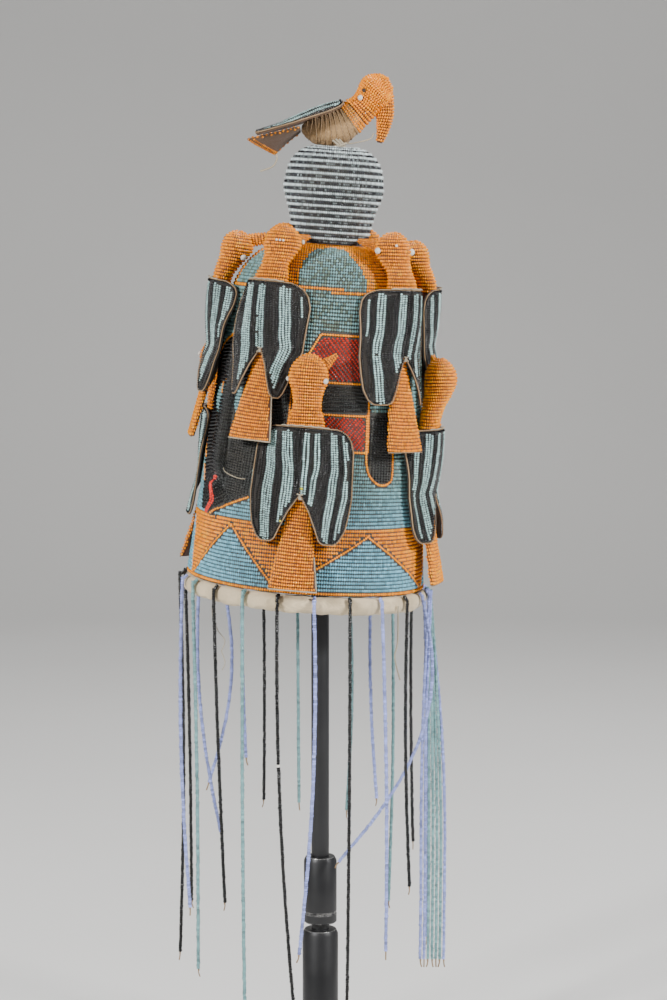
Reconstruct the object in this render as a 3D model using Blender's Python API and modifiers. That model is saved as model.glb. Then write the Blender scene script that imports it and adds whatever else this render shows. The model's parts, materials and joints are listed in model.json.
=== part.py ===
"""A beaded crown with birds and a veil of bead strings, hanging on a plain post stand.

Metres, +Z up. The origin is the centre of the stand's underside. The crown leans to
the right on its post; the side that carries the tall black ridge is front left.
"""

import math

import bmesh
import bpy
from mathutils import Matrix, Vector

# Clearance between pieces that are sewn or seated on each other
GAP = 0.0003

# Crown shell, measured over its beads, in its own frame: z runs up from the rim
RIM_RADIUS = 0.1125
SHOULDER_RADIUS = 0.091
SHOULDER_HEIGHT = 0.250
SEAT_RADIUS = 0.036
CROWN_HEIGHT = 0.316
WALL = 0.003
SHELL_SIDES = 28
SHOULDER_STEPS = 5

# Placing of the crown on its stand
RIM_LEVEL = 0.500
RIM_SHIFT = -0.014
LEAN = math.radians(4.18)

# Padded white roll under the rim
ROLL_THICKNESS = 0.018
ROLL_INSET = 0.005
ROLL_PUFFS = 22
ROLL_PUFF_DEPTH = 0.0007
ROLL_SIDES = 8

# Striped finial
FINIAL_HEIGHT = 0.090
FINIAL_RADIUS = 0.047
FINIAL_SIDES = 20

# Bird sizes
HEAD_WIDTH = 0.037
HEAD_DEPTH = 0.031
BODY_WIDTH = 0.035
BODY_DEPTH = 0.018
TAIL_LENGTH = 0.148
TAIL_WIDTH = 0.046
TAIL_THICKNESS = 0.009
TAIL_FLARE = 0.015
WING_LENGTH = 0.106
WING_WIDTH = 0.090
WING_THICKNESS = 0.004
BEAK_ROOT_RADIUS = 0.007
BEAK_TIP_RADIUS = 0.0027
# The beak starts inside the head at this share of its rise, higher on a shorter neck
BEAK_START, BEAK_START_HIGH = 0.66, 0.78
# Clearances of an upper beak's tip over the shell's top and before the finial's foot
BEAK_OVER_TOP = 0.003
BEAK_TO_FINIAL = 0.0015
# A lower beak's tip: out from the wall, aside in head widths, and up in shares of the rise
LOWER_BEAK_OUT, LOWER_BEAK_ASIDE, LOWER_BEAK_UP = 0.008, 0.6, 1.02
WING_LIFT = 0.010
WING_ARCH = 0.0015
BODY_SIDES = 10

# The rows of birds: place of the wings' top edge, rise of neck and head above it, and
# how far the centres of neck and head stand out from the cone's line
UPPER_LEVEL = CROWN_HEIGHT - 0.036
UPPER_RISE = 0.052
UPPER_NECK_OUT, UPPER_HEAD_OUT = 0.006, -0.003
LOWER_LEVEL = 0.152
LOWER_RISE = 0.065
LOWER_NECK_OUT, LOWER_HEAD_OUT = 0.013, 0.0205
UPPER_ROW = {
    "level": UPPER_LEVEL,
    "rise": UPPER_RISE,
    "neck_out": UPPER_NECK_OUT,
    "head_out": UPPER_HEAD_OUT,
    "beak_start": BEAK_START,
    "beak_to_finial": True,
}
# Two birds of the upper row sit lower on the shoulder or have a shorter neck
LEFT_SIDE = {
    **UPPER_ROW,
    "level": UPPER_LEVEL - 0.004,
    "rise": UPPER_RISE * 0.89,
    "head_out": UPPER_HEAD_OUT + 0.003,
    "beak_start": BEAK_START_HIGH,
}
RIGHT_SIDE = {**UPPER_ROW, "rise": UPPER_RISE * 0.86, "beak_start": BEAK_START_HIGH}
LOWER_ROW = {
    "level": LOWER_LEVEL,
    "rise": LOWER_RISE,
    "neck_out": LOWER_NECK_OUT,
    "head_out": LOWER_HEAD_OUT,
    "beak_start": BEAK_START,
    "beak_to_finial": False,
}

# Birds: name, row, azimuth in degrees to the right of the front, share of the full wing
# width, share of the tail length, then for the left and for the right lobe its taper and
# its share of the wing lift
BIRDS = (
    ("bird_upper_1", LEFT_SIDE, -85, 0.98, 1.00, (0.9, 0.2), (1.0, 1.0)),
    ("bird_upper_2", UPPER_ROW, -31, 0.88, 0.98, (0.8, 1), (1.0, 0.1)),
    ("bird_upper_3", UPPER_ROW, 45, 0.96, 1.00, (0.1, 0.5), (0.9, 0.3)),
    ("bird_upper_4", RIGHT_SIDE, 106, 0.88, 0.88, (1.0, 0), (0.3, 0.4)),
    ("bird_upper_5", UPPER_ROW, 155.5, 0.87, 0.98, (0.3, 0.4), (1.0, 0.1)),
    ("bird_upper_6", UPPER_ROW, 212, 0.88, 1.00, (1.0, 0), (1.0, 0)),
    ("bird_lower_1", LOWER_ROW, -120, 0.84, 1.00, (0.3, 0.5), (0.3, 0.5)),
    ("bird_lower_2", LOWER_ROW, -5, 1.04, 1.00, (0.0, 0.6), (0.1, 0.6)),
    ("bird_lower_3", LOWER_ROW, 75, 0.98, 0.98, (0.4, 0.6), (0.3, 0.5)),
    ("bird_lower_4", LOWER_ROW, 180, 1.00, 1.00, (0.3, 0.5), (0.2, 0.5)),
)

# Sections of a bird below its wings' top edge: share of the tail length down, share of
# the tail width, half depth as a share of the tail thickness, share of the flare
TAIL_SECTIONS = (
    (1.00, 1.00, 0.44, 1.00),
    (0.77, 0.76, 0.50, 0.58),
    (0.575, 0.53, 0.53, 0.25),
    (0.41, 0.37, 0.56, 0.03),
)
# Sections of the body under the wings: share of the tail length down, share of the body
BODY_SECTIONS = ((0.20, 0.78), (0.0, 1.0))
TAIL_SQUARENESS, BODY_SQUARENESS = 3.0, 2.2
# Sections of the neck and head: share of the rise, share of the head width and of the
# head depth, and how far the centre has moved from the neck's to the head's standoff
HEAD_SECTIONS = (
    (0.28, 0.73, 0.71, 0.00),
    (0.48, 0.80, 0.86, 0.65),
    (0.66, 1.00, 1.00, 1.00),
    (0.84, 0.86, 0.88, 1.00),
    (0.96, 0.48, 0.50, 0.96),
    (1.00, 0.16, 0.16, 0.94),
)
# Rows of a wing panel: share of the wing length down, then the outer edge of a full and
# of a tapered lobe and the inner edge, as shares of half the wing width
WING_ROWS = (
    (0.00, 0.60, 0.56, 0.00),
    (0.06, 0.83, 0.79, 0.00),
    (0.20, 0.95, 0.93, 0.00),
    (0.585, 1.00, 0.88, 0.00),
    (0.72, 0.98, 0.76, 0.19),
    (0.86, 0.93, 0.70, 0.33),
    (0.96, 0.82, 0.64, 0.42),
    (1.00, 0.70, 0.58, 0.50),
)
WING_COLUMNS = 3
# The wing lies flat over the body out to the first share of half the body's width, and
# reaches the wall at the second
WING_FLAT, WING_DROP = 0.60, 2.20
# The wing's lift is reached at this share of its length
WING_EASE = 0.45
# Clearances of a wing over the body's back and over the tail, in gaps, and how much
# steeper than the tail it runs below its narrow part
WING_OVER_BODY, WING_OVER_TAIL, WING_FLARE = 2.5, 5, 1.15

# Raised face on the front left of the shell
FACE_AZIMUTH = -56.5
RIDGE_LEAN = math.radians(3)
RIDGE_BOTTOM, RIDGE_TOP = 0.098, 0.228
RIDGE_WIDTH = 0.017
RIDGE_HEIGHT = 0.008
# Stations along the ridge from its middle, as shares of half its length, and its section
# as shares of height and of half width, from its foot to its crest
RIDGE_STATIONS = (-1.0, -0.88, -0.4, 0.2, 0.8, 1.0)
RIDGE_SHOULDER, RIDGE_CREST = (0.62, 0.86), (1.0, 0.4)
RIDGE_TAPER, RIDGE_END_WIDTH, RIDGE_END_HEIGHT = 0.12, 0.62, 0.5
EYE_WIDTH, EYE_LENGTH, EYE_HEIGHT = 0.016, 0.027, 0.003
EYE_LEVEL = 0.168
EYE_SPREAD = 10.5
MOUTH_WIDTH, MOUTH_LENGTH, MOUTH_HEIGHT = 0.026, 0.036, 0.008
MOUTH_LEVEL = 0.076
MOUTH_ASIDE = -1
# The padded ovals' edges stand at this share of their height, and their ends are this wide
OVAL_EDGE, OVAL_ENDS = 0.2, 0.15

# Bird on the finial: place along and above the seat, and radius, of each ring from tail
# to crown, as shares of its size
TOP_BIRD_SIZE = 0.100
TOP_BODY_RINGS = (
    (-0.324, 0.193, 0.035),
    (-0.259, 0.186, 0.100),
    (-0.155, 0.186, 0.155),
    (-0.024, 0.195, 0.187),
    (0.099, 0.268, 0.165),
    (0.180, 0.335, 0.140),
)
TOP_HEAD_RINGS = (
    (0.183, 0.338, 0.155),
    (0.275, 0.414, 0.145),
    (0.371, 0.540, 0.176),
    (0.450, 0.590, 0.130),
    (0.500, 0.615, 0.050),
)
TOP_BEAK_RINGS = (
    (0.440, 0.500, 0.100),
    (0.450, 0.310, 0.088),
    (0.428, 0.165, 0.062),
    (0.400, 0.061, 0.040),
)
TOP_BIRD_FLATTEN = 0.88
# The belly's lowest facet settles this far, onto the finial's top
TOP_BIRD_SETTLE = 0.0025
TOP_WING_SHARE = 0.82
TOP_WING_ROOT = (0.078, 0.4015)
TOP_WING_SLOPE = math.radians(17)
TOP_WING_ARCH, TOP_WING_ARCH_START = 0.004, 0.3
TOP_WING_BEND = 0.150
TOP_WING_LOBES = ((0.3, 0.0), (0.3, 0.0))
TOP_TAIL_ROOT, TOP_TAIL_END = (-0.340, 0.185), (-0.700, 0.025)
# Its tail's side direction where it is fully twisted
TOP_TAIL_SIDE = (0.61, 0.72, -0.32)
TOP_TAIL_WIDTH = 0.044
TOP_TAIL_THICKNESS = 0.006
# Sections of its tail: share of the way, of the width and of the thickness
TOP_TAIL_SECTIONS = (
    (0.0, 0.28, 1.00),
    (0.5, 0.62, 1.06),
    (1.0, 1.00, 0.94),
)

# Bead strings of the veil
STRING_DIAMETER = 0.0034
STRING_STEPS = 5
# Places of a string on the roll, in degrees over the roll's outermost line
STRING_WRAP = (52, 26, 0)
# A drift grows with this power of the way down, a move to the back with that one
DRIFT_POWER, BACK_POWER = 1.8, 1.5
# A string that is drawn far aside hangs less deep
FAR_DRIFT, FAR_DRIFT_FALL = 0.05, 0.93
# The band of close strings: it starts narrow along the rim, and turns to face the front
BUNDLE_WIDTH, BUNDLE_START = 0.026, 0.62
BUNDLE_AZIMUTH, BUNDLE_LENGTH, BUNDLE_DRIFT, BUNDLE_BOW = 88, 0.362, 0.004, 0.003
BUNDLE_SPREAD_STEPS, BUNDLE_TURN_STEPS = 3, 2
# Strings: colour, azimuth, length, how far the lower end drifts right and back, and the
# bow at mid length. These few values are the strings' chosen routes.
STRINGS = (
    ("black", -88, 0.372, -0.002, 0.000, 0.003),
    ("lavender", -75, 0.322, 0.005, 0.004, -0.004),
    ("teal", -60.7, 0.372, 0.003, 0.000, 0.002),
    ("black", -44.3, 0.300, 0.009, 0.002, 0.001),
    ("teal", -28.0, 0.418, 0.001, 0.000, -0.001),
    ("black", -11.6, 0.404, 0.016, 0.001, -0.002),
    ("lavender", 4.8, 0.332, -0.014, -0.003, 0.003),
    ("black", 21.1, 0.408, -0.003, 0.000, 0.000),
    ("lavender", 37.5, 0.332, 0.004, 0.000, 0.003),
    ("black", 53.9, 0.276, 0.003, 0.003, -0.002),
    ("lavender", 70.2, 0.280, -0.079, 0.012, 0.022),
    ("lavender", 104, 0.350, 0.004, 0.002, 0.003),
    ("black", 119, 0.262, 0.002, -0.002, -0.001),
    ("teal", 134, 0.330, -0.003, 0.000, 0.002),
    ("lavender", 147, 0.232, 0.006, 0.001, -0.002),
    ("teal", 159, 0.248, -0.002, 0.000, 0.004),
    ("teal", 184, 0.246, 0.001, 0.001, 0.000),
    ("black", 201, 0.244, 0.000, 0.002, 0.001),
    ("lavender", 212, 0.200, 0.003, 0.000, -0.001),
    ("lavender", 225, 0.222, -0.012, -0.004, 0.014),
    ("lavender", 240, 0.268, 0.019, -0.002, -0.006),
    ("black", 256, 0.330, 0.004, 0.000, 0.002),
)

# Plain stand
POST_RADIUS = 0.0085
POST_CAP_RADIUS = 0.020
COLLAR_RADIUS = 0.0158
COLLAR_BOTTOM, COLLAR_TOP = 0.166, 0.2305
TUBE_RADIUS = 0.0172
TUBE_TOP = 0.159
BASE_RADIUS = 0.140
BASE_THICKNESS = 0.012
CHAMFER = 0.002
POST_SIDES = 16
BASE_SIDES = 32

COLOURS = {
    "orange": ((0.83, 0.30, 0.03), 0.35, 0.0),
    "wing": ((0.10, 0.16, 0.18), 0.35, 0.0),
    "teal": ((0.27, 0.50, 0.56), 0.35, 0.0),
    "black": ((0.02, 0.02, 0.02), 0.30, 0.0),
    "lavender": ((0.50, 0.52, 0.80), 0.30, 0.0),
    "striped": ((0.38, 0.45, 0.46), 0.40, 0.0),
    "cotton": ((0.78, 0.70, 0.58), 0.90, 0.0),
    "wrapping": ((0.42, 0.30, 0.18), 0.85, 0.0),
    "steel": ((0.03, 0.03, 0.03), 0.45, 0.6),
}


def clear_scene():
    for old in list(bpy.data.objects):
        bpy.data.objects.remove(old, do_unlink=True)


def paint(obj, colour):
    """Gives the object its own material in the named colour."""
    rgb, roughness, metallic = COLOURS[colour]
    material = bpy.data.materials.new(obj.name + "_" + colour)
    material.use_nodes = True
    shader = material.node_tree.nodes["Principled BSDF"]
    shader.inputs["Base Color"].default_value = (*rgb, 1.0)
    shader.inputs["Roughness"].default_value = roughness
    shader.inputs["Metallic"].default_value = metallic
    obj.data.materials.append(material)


def add_mesh(name, mesh_builder, colour, parent=None, matrix=None):
    """Links a new object made from a bmesh, and places it under its parent."""
    mesh = bpy.data.meshes.new(name)
    mesh_builder.to_mesh(mesh)
    mesh_builder.free()
    obj = bpy.data.objects.new(name, mesh)
    PARTS.objects.link(obj)
    paint(obj, colour)
    place(obj, parent, matrix)
    return obj


def place(obj, parent=None, matrix=None):
    obj.parent = parent
    if matrix is not None:
        obj.matrix_local = matrix


def smooth(obj, angle=40):
    obj.data.shade_smooth()
    obj.data.set_sharp_from_angle(angle=math.radians(angle))


def turned(name, profile, sides, colour, parent=None, matrix=None):
    """A profile of (radius, height) points, top to bottom at +X, turned by a Screw."""
    builder = bmesh.new()
    points = [builder.verts.new((r, 0, z)) for r, z in profile]
    for upper, lower in zip(points, points[1:]):
        builder.edges.new((upper, lower))
    obj = add_mesh(name, builder, colour, parent, matrix)
    screw = obj.modifiers.new("turn", "SCREW")
    screw.steps = screw.render_steps = sides
    screw.use_merge_vertices = True
    screw.merge_threshold = 0.00005
    screw.use_smooth_shade = True
    return obj


def lofted(rings):
    """A closed bmesh through rings of points, with its two ends capped."""
    builder = bmesh.new()
    loops = [[builder.verts.new(point) for point in ring] for ring in rings]
    count = len(loops[0])
    for low, high in zip(loops, loops[1:]):
        for i in range(count):
            j = (i + 1) % count
            builder.faces.new((low[i], low[j], high[j], high[i]))
    builder.faces.new(list(reversed(loops[0])))
    builder.faces.new(loops[-1])
    bmesh.ops.recalc_face_normals(builder, faces=builder.faces)
    return builder


def oval(centre, across, outward, squareness=2.0, sides=BODY_SIDES):
    """Points round a (super)ellipse with the given half axes."""
    points = []
    for i in range(sides):
        turn = 2 * math.pi * (i + 0.5) / sides
        c, s = math.cos(turn), math.sin(turn)
        u = math.copysign(abs(c) ** (2 / squareness), c)
        v = math.copysign(abs(s) ** (2 / squareness), s)
        points.append(centre + across * u + outward * v)
    return points


def union(obj, other):
    """Joins another solid into obj, and hides it as a helper."""
    joined = obj.modifiers.new("join", "BOOLEAN")
    joined.operation = "UNION"
    joined.solver = "EXACT"
    joined.object = other
    other.hide_render = True
    other.display_type = "WIRE"
    for collection in list(other.users_collection):
        collection.objects.unlink(other)
    HELPERS.objects.link(other)


def cone_radius(height):
    """Radius of the shell's straight cone at a height above the rim."""
    return RIM_RADIUS - (RIM_RADIUS - SHOULDER_RADIUS) * height / SHOULDER_HEIGHT


def cone_slope():
    return math.atan((RIM_RADIUS - SHOULDER_RADIUS) / SHOULDER_HEIGHT)


def on_shell(azimuth, height):
    """Frame on the cone: x outward, y to the right, z up the slope."""
    turn = Matrix.Rotation(math.radians(azimuth - 90), 4, "Z")
    out = Matrix.Translation((cone_radius(height), 0, height))
    return turn @ out @ Matrix.Rotation(-cone_slope(), 4, "Y")


def wall_drop(side, radius):
    """How far the round wall falls behind its tangent plane, at a distance to the side."""
    return math.sqrt(max(radius * radius - side * side, 0.0)) - radius


def make_shell(crown):
    """The hollow cone with its rounded shoulder and flat seat for the finial."""
    profile = [(0, CROWN_HEIGHT), (SEAT_RADIUS, CROWN_HEIGHT)]
    for i in range(1, SHOULDER_STEPS):
        turn = math.radians(90 - 90 * i / SHOULDER_STEPS)
        radius = SEAT_RADIUS + (SHOULDER_RADIUS - SEAT_RADIUS) * math.cos(turn)
        rise = (CROWN_HEIGHT - SHOULDER_HEIGHT) * math.sin(turn)
        profile.append((radius, SHOULDER_HEIGHT + rise))
    profile += [
        (SHOULDER_RADIUS, SHOULDER_HEIGHT),
        (cone_radius(SHOULDER_HEIGHT / 2), SHOULDER_HEIGHT / 2),
        (RIM_RADIUS, 0),
    ]
    shell = turned("shell", profile, SHELL_SIDES, "teal", crown)
    wall = shell.modifiers.new("wall", "SOLIDIFY")
    wall.thickness = WALL
    wall.offset = -1
    wall.use_even_offset = True
    return shell


def make_roll(crown):
    """The padded cotton roll, pinched where each bead string passes over it."""
    builder = bmesh.new()
    half = ROLL_THICKNESS / 2
    stations = 2 * ROLL_PUFFS
    loops = []
    for i in range(stations):
        turn = 2 * math.pi * i / stations
        size = half - (ROLL_PUFF_DEPTH if i % 2 else 0)
        loop = []
        for k in range(ROLL_SIDES):
            angle = 2 * math.pi * k / ROLL_SIDES
            radius = RIM_RADIUS - ROLL_INSET + size * math.cos(angle)
            height = -GAP - half + size * math.sin(angle)
            point = (radius * math.cos(turn), radius * math.sin(turn), height)
            loop.append(builder.verts.new(point))
        loops.append(loop)
    for i, loop in enumerate(loops):
        following = loops[(i + 1) % stations]
        for k in range(ROLL_SIDES):
            n = (k + 1) % ROLL_SIDES
            builder.faces.new((loop[k], following[k], following[n], loop[n]))
    bmesh.ops.recalc_face_normals(builder, faces=builder.faces)
    smooth(add_mesh("rim_roll", builder, "cotton", crown), 60)


def finial_profile():
    """(share of the height, share of the radius) down the pear-shaped finial."""
    return (
        (1.00, 0.40),
        (0.965, 0.64),
        (0.89, 0.83),
        (0.78, 0.945),
        (0.63, 1.00),
        (0.53, 1.00),
        (0.44, 0.945),
        (0.30, 0.86),
        (0.13, 0.80),
        (0.00, 0.76),
    )


def make_finial(crown):
    """The striped pear-shaped finial, seated on the shell's flat top."""
    base = CROWN_HEIGHT + GAP
    profile = [(0, base + FINIAL_HEIGHT)]
    for share, radius in finial_profile():
        profile.append((radius * FINIAL_RADIUS, base + share * FINIAL_HEIGHT))
    profile.append((0, base))
    turned("finial", profile, FINIAL_SIDES, "striped", crown)


def mound(name, width, length, height, colour, crown, azimuth, level):
    """A padded oval raised on the shell, its back following the round wall."""
    across_steps, along_steps = 6, 6
    radius = cone_radius(level)
    builder = bmesh.new()
    rows = []
    for i in range(along_steps + 1):
        t = -1 + 2 * i / along_steps
        half = width / 2 * max(math.sqrt(max(1 - t * t, 0)), OVAL_ENDS)
        row = []
        for k in range(across_steps + 1):
            side = half * (-1 + 2 * k / across_steps)
            rise = max(1 - (side / (width / 2)) ** 2 - t * t, 0.0) ** 0.5
            back = wall_drop(side, radius) + GAP
            front = back + height * max(rise, OVAL_EDGE)
            z = t * length / 2
            row.append((Vector((back, side, z)), Vector((front, side, z))))
        rows.append(row)
    rings = []
    for row in rows:
        fronts = [pair[1] for pair in row]
        backs = [pair[0] for pair in reversed(row)]
        rings.append(fronts + backs)
    loft = lofted(rings)
    obj = add_mesh(name, loft, colour, crown, on_shell(azimuth, level))
    smooth(obj, 50)
    return obj


def make_face(crown):
    """Ridge-like nose, padded eyes and the mouth, sewn on the front left."""
    middle = (RIDGE_BOTTOM + RIDGE_TOP) / 2
    half_length = (RIDGE_TOP - RIDGE_BOTTOM) / 2
    radius = cone_radius(middle)
    rings = []
    for share in RIDGE_STATIONS:
        at_end = abs(share) == 1.0
        half = RIDGE_WIDTH / 2 * (RIDGE_END_WIDTH if at_end else 1.0 - RIDGE_TAPER * share)
        top = RIDGE_HEIGHT * (RIDGE_END_HEIGHT if at_end else 1.0)
        back = wall_drop(half, radius) + 2 * GAP
        outline = [(2 * GAP, 0.0), (back, half)]
        for up, wide in (RIDGE_SHOULDER, RIDGE_CREST):
            outline.append((up * top, wide * half))
        ring = [Vector((x, -y, share * half_length)) for x, y in outline]
        ring += [Vector((x, y, share * half_length)) for x, y in reversed(outline[1:])]
        rings.append(ring)
    seat = on_shell(FACE_AZIMUTH, middle) @ Matrix.Rotation(-RIDGE_LEAN, 4, "X")
    ridge = add_mesh("face_ridge", lofted(rings), "black", crown, seat)
    smooth(ridge, 60)
    for side, label in ((-1, "left"), (1, "right")):
        azimuth = FACE_AZIMUTH + side * EYE_SPREAD
        size = (EYE_WIDTH, EYE_LENGTH, EYE_HEIGHT)
        mound("face_eye_" + label, *size, "teal", crown, azimuth, EYE_LEVEL)
    size = (MOUTH_WIDTH, MOUTH_LENGTH, MOUTH_HEIGHT)
    mound("face_mouth", *size, "black", crown, FACE_AZIMUTH + MOUTH_ASIDE, MOUTH_LEVEL)


def body_rings(row, tail_share):
    """Rings of one bird's body, from the tail's end to the top of its head."""
    x_axis, y_axis = Vector((1, 0, 0)), Vector((0, 1, 0))
    rings = []
    for down, width, depth, flare in TAIL_SECTIONS:
        half_depth = depth * TAIL_THICKNESS
        out = GAP + half_depth + flare * (TAIL_FLARE - half_depth)
        centre = Vector((out, 0, -down * TAIL_LENGTH * tail_share))
        across = y_axis * (width * TAIL_WIDTH / 2)
        rings.append(oval(centre, across, x_axis * half_depth, TAIL_SQUARENESS))
    for down, share in BODY_SECTIONS:
        half_depth = share * BODY_DEPTH / 2
        centre = Vector((GAP + half_depth, 0, -down * TAIL_LENGTH * tail_share))
        across = y_axis * (share * BODY_WIDTH / 2)
        rings.append(oval(centre, across, x_axis * half_depth, BODY_SQUARENESS))
    for rise, width, depth, lean in HEAD_SECTIONS:
        out = row["neck_out"] + lean * (row["head_out"] - row["neck_out"])
        centre = Vector((out, 0, rise * row["rise"]))
        across = y_axis * (width * HEAD_WIDTH / 2)
        rings.append(oval(centre, across, x_axis * (depth * HEAD_DEPTH / 2)))
    return rings


def make_beak(name, row, crown, matrix):
    """A tapering beak. In the upper row it reaches the finial's foot, and in the lower
    row, where the wall is close, it points up and aside."""
    head = Vector((row["head_out"], 0, row["beak_start"] * row["rise"]))
    if row["beak_to_finial"]:
        foot = finial_profile()[-1][1] * FINIAL_RADIUS
        slope = cone_slope()
        over = CROWN_HEIGHT - row["level"] + BEAK_OVER_TOP + BEAK_TIP_RADIUS
        inward = cone_radius(row["level"]) - over * math.tan(slope) - foot - BEAK_TO_FINIAL
        reach = inward * math.cos(slope)
        tip = Vector((-reach, 0, (over + reach * math.sin(slope)) / math.cos(slope)))
    else:
        aside = LOWER_BEAK_ASIDE * HEAD_WIDTH
        tip = Vector((LOWER_BEAK_OUT, aside, LOWER_BEAK_UP * row["rise"]))
    along = (tip - head).normalized()
    across = along.cross(Vector((0, 0, 1))).normalized()
    up = across.cross(along)
    rings = []
    middle = 0.3 * BEAK_TIP_RADIUS + 0.7 * BEAK_ROOT_RADIUS
    for share, radius in ((0.15, BEAK_ROOT_RADIUS), (0.6, middle), (1.0, BEAK_TIP_RADIUS)):
        centre = head.lerp(tip, share)
        rings.append(oval(centre, across * radius, up * radius, 2.0, 6))
    return add_mesh(name, lofted(rings), "orange", crown, matrix)


def wing_ridge(down, tail_share):
    """Height of the wing's inner face above the cone's line over the bird's body."""
    z = down * WING_LENGTH
    full = BODY_DEPTH + WING_OVER_BODY * GAP
    narrow_at = TAIL_SECTIONS[-1][0] * TAIL_LENGTH * tail_share
    narrow = 2 * TAIL_SECTIONS[-1][2] * TAIL_THICKNESS + WING_OVER_TAIL * GAP
    if z < narrow_at:
        share = z / narrow_at
        return full + (narrow - full) * share ** 1.2 + WING_ARCH * math.sin(math.pi * share)
    rise = (z - narrow_at) / (TAIL_LENGTH * tail_share - narrow_at)
    return narrow + rise * TAIL_FLARE * WING_FLARE


def panel(name, width, length, ridge, wall_radius, lobes, colour, parent, matrix):
    """A two-lobed wing panel: a sheet draped over the body, then given its thickness."""
    builder = bmesh.new()
    half = width / 2
    rows = {-1: [], 1: []}
    centre_line = []
    for down, full, tapered, inner in WING_ROWS:
        z = -down * length
        top = ridge(down)
        middle = builder.verts.new((top, 0, z)) if inner == 0 else None
        centre_line.append(middle)
        for sign, (taper, lift_share) in ((-1, lobes[0]), (1, lobes[1])):
            outer = full + taper * (tapered - full)
            ease = min(down / WING_EASE, 1.0)
            raised = GAP * 2 + lift_share * WING_LIFT * ease * ease * (3 - 2 * ease)
            line = []
            for k in range(WING_COLUMNS + 1):
                if k == 0 and middle is not None:
                    line.append(middle)
                    continue
                side = half * (inner + (outer - inner) * k / WING_COLUMNS)
                fall = (side / (BODY_WIDTH / 2) - WING_FLAT) / (WING_DROP - WING_FLAT)
                fall = min(max(fall, 0.0), 1.0)
                drape = 1 - fall * fall * (3 - 2 * fall)
                base = wall_drop(side, wall_radius) + raised
                x = base + (top - raised) * drape
                line.append(builder.verts.new((x, sign * side, z)))
            rows[sign].append(line)
    for sign, lines in rows.items():
        for upper, lower in zip(lines, lines[1:]):
            for k in range(WING_COLUMNS):
                corners = [upper[k], lower[k], lower[k + 1], upper[k + 1]]
                builder.faces.new(corners if sign > 0 else corners[::-1])
    obj = add_mesh(name, builder, colour, parent, matrix)
    thick = obj.modifiers.new("padding", "SOLIDIFY")
    thick.thickness = WING_THICKNESS
    thick.offset = 1
    thick.use_even_offset = False
    smooth(obj, 50)
    return obj


def make_bird(crown, name, row, azimuth, wing_share, tail_share, left, right):
    """One bird: a stuffed body from tail to head, and its pair of wings."""
    matrix = on_shell(azimuth, row["level"])
    body = add_mesh(name, lofted(body_rings(row, tail_share)), "orange", crown, matrix)
    smooth(body, 60)
    union(body, make_beak(name + "_beak", row, crown, matrix))
    wall = cone_radius(row["level"] - WING_LENGTH / 2)
    panel(
        name + "_wings",
        WING_WIDTH * wing_share,
        WING_LENGTH,
        lambda down: wing_ridge(down, tail_share),
        wall,
        (left, right),
        "wing",
        crown,
        matrix,
    )


def top_wing_ridge(down):
    """Height of the top bird's wing panel over its flat line, from its root down."""
    return TOP_WING_ARCH * math.sin(math.pi * min(1.0, TOP_WING_ARCH_START + down))


def ring_loft(rings):
    """A loft through upright rings given as (along, above, radius), square to the path."""
    centres = [Vector((x, 0, z)) * TOP_BIRD_SIZE for x, z, _ in rings]
    side = Vector((0, 1, 0))
    result = []
    for i, (_, _, radius) in enumerate(rings):
        ahead = centres[min(i + 1, len(rings) - 1)] - centres[max(i - 1, 0)]
        up = ahead.normalized().cross(side)
        across = side * radius * TOP_BIRD_SIZE * TOP_BIRD_FLATTEN
        result.append(oval(centres[i], across, up * radius * TOP_BIRD_SIZE, 2.0, 12))
    return lofted(result)


def make_top_bird(crown):
    """The bird on the finial: wrapped body, beaded head, wings laid back, and tail."""
    seat = bpy.data.objects.new("top_bird_seat", None)
    PARTS.objects.link(seat)
    seat.parent = crown
    top = CROWN_HEIGHT + FINIAL_HEIGHT + 2 * GAP - TOP_BIRD_SETTLE
    seat.matrix_local = Matrix.Translation((0, 0, top)) @ Matrix.Rotation(-LEAN, 4, "Y")
    smooth(add_mesh("top_bird_body", ring_loft(TOP_BODY_RINGS), "wrapping", seat), 60)
    head = add_mesh("top_bird_head", ring_loft(TOP_HEAD_RINGS), "orange", seat)
    smooth(head, 60)
    union(head, add_mesh("top_bird_beak", ring_loft(TOP_BEAK_RINGS), "orange", seat))
    root = Vector((TOP_WING_ROOT[0], 0, TOP_WING_ROOT[1])) * TOP_BIRD_SIZE
    laid_back = Matrix.Rotation(math.pi, 4, "Z") @ Matrix.Rotation(TOP_WING_SLOPE - math.pi / 2, 4, "Y")
    lie = Matrix.Translation(root) @ laid_back
    size = (WING_WIDTH * TOP_WING_SHARE, WING_LENGTH * TOP_WING_SHARE)
    bend = TOP_WING_BEND
    panel("top_bird_wings", *size, top_wing_ridge, bend, TOP_WING_LOBES, "wing", seat, lie)
    start = Vector((TOP_TAIL_ROOT[0], 0, TOP_TAIL_ROOT[1])) * TOP_BIRD_SIZE
    end = Vector((TOP_TAIL_END[0], 0, TOP_TAIL_END[1])) * TOP_BIRD_SIZE
    rings = []
    for share, width, depth in TOP_TAIL_SECTIONS:
        twist = Vector((share * TOP_TAIL_SIDE[0], TOP_TAIL_SIDE[1], TOP_TAIL_SIDE[2]))
        side = twist.normalized()
        normal = (end - start).cross(side).normalized()
        across = side * (width * TOP_TAIL_WIDTH / 2)
        outward = normal * (depth * TOP_TAIL_THICKNESS / 2)
        rings.append(oval(start.lerp(end, share), across, outward, TAIL_SQUARENESS))
    smooth(add_mesh("top_bird_tail", lofted(rings), "orange", seat), 60)


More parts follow.
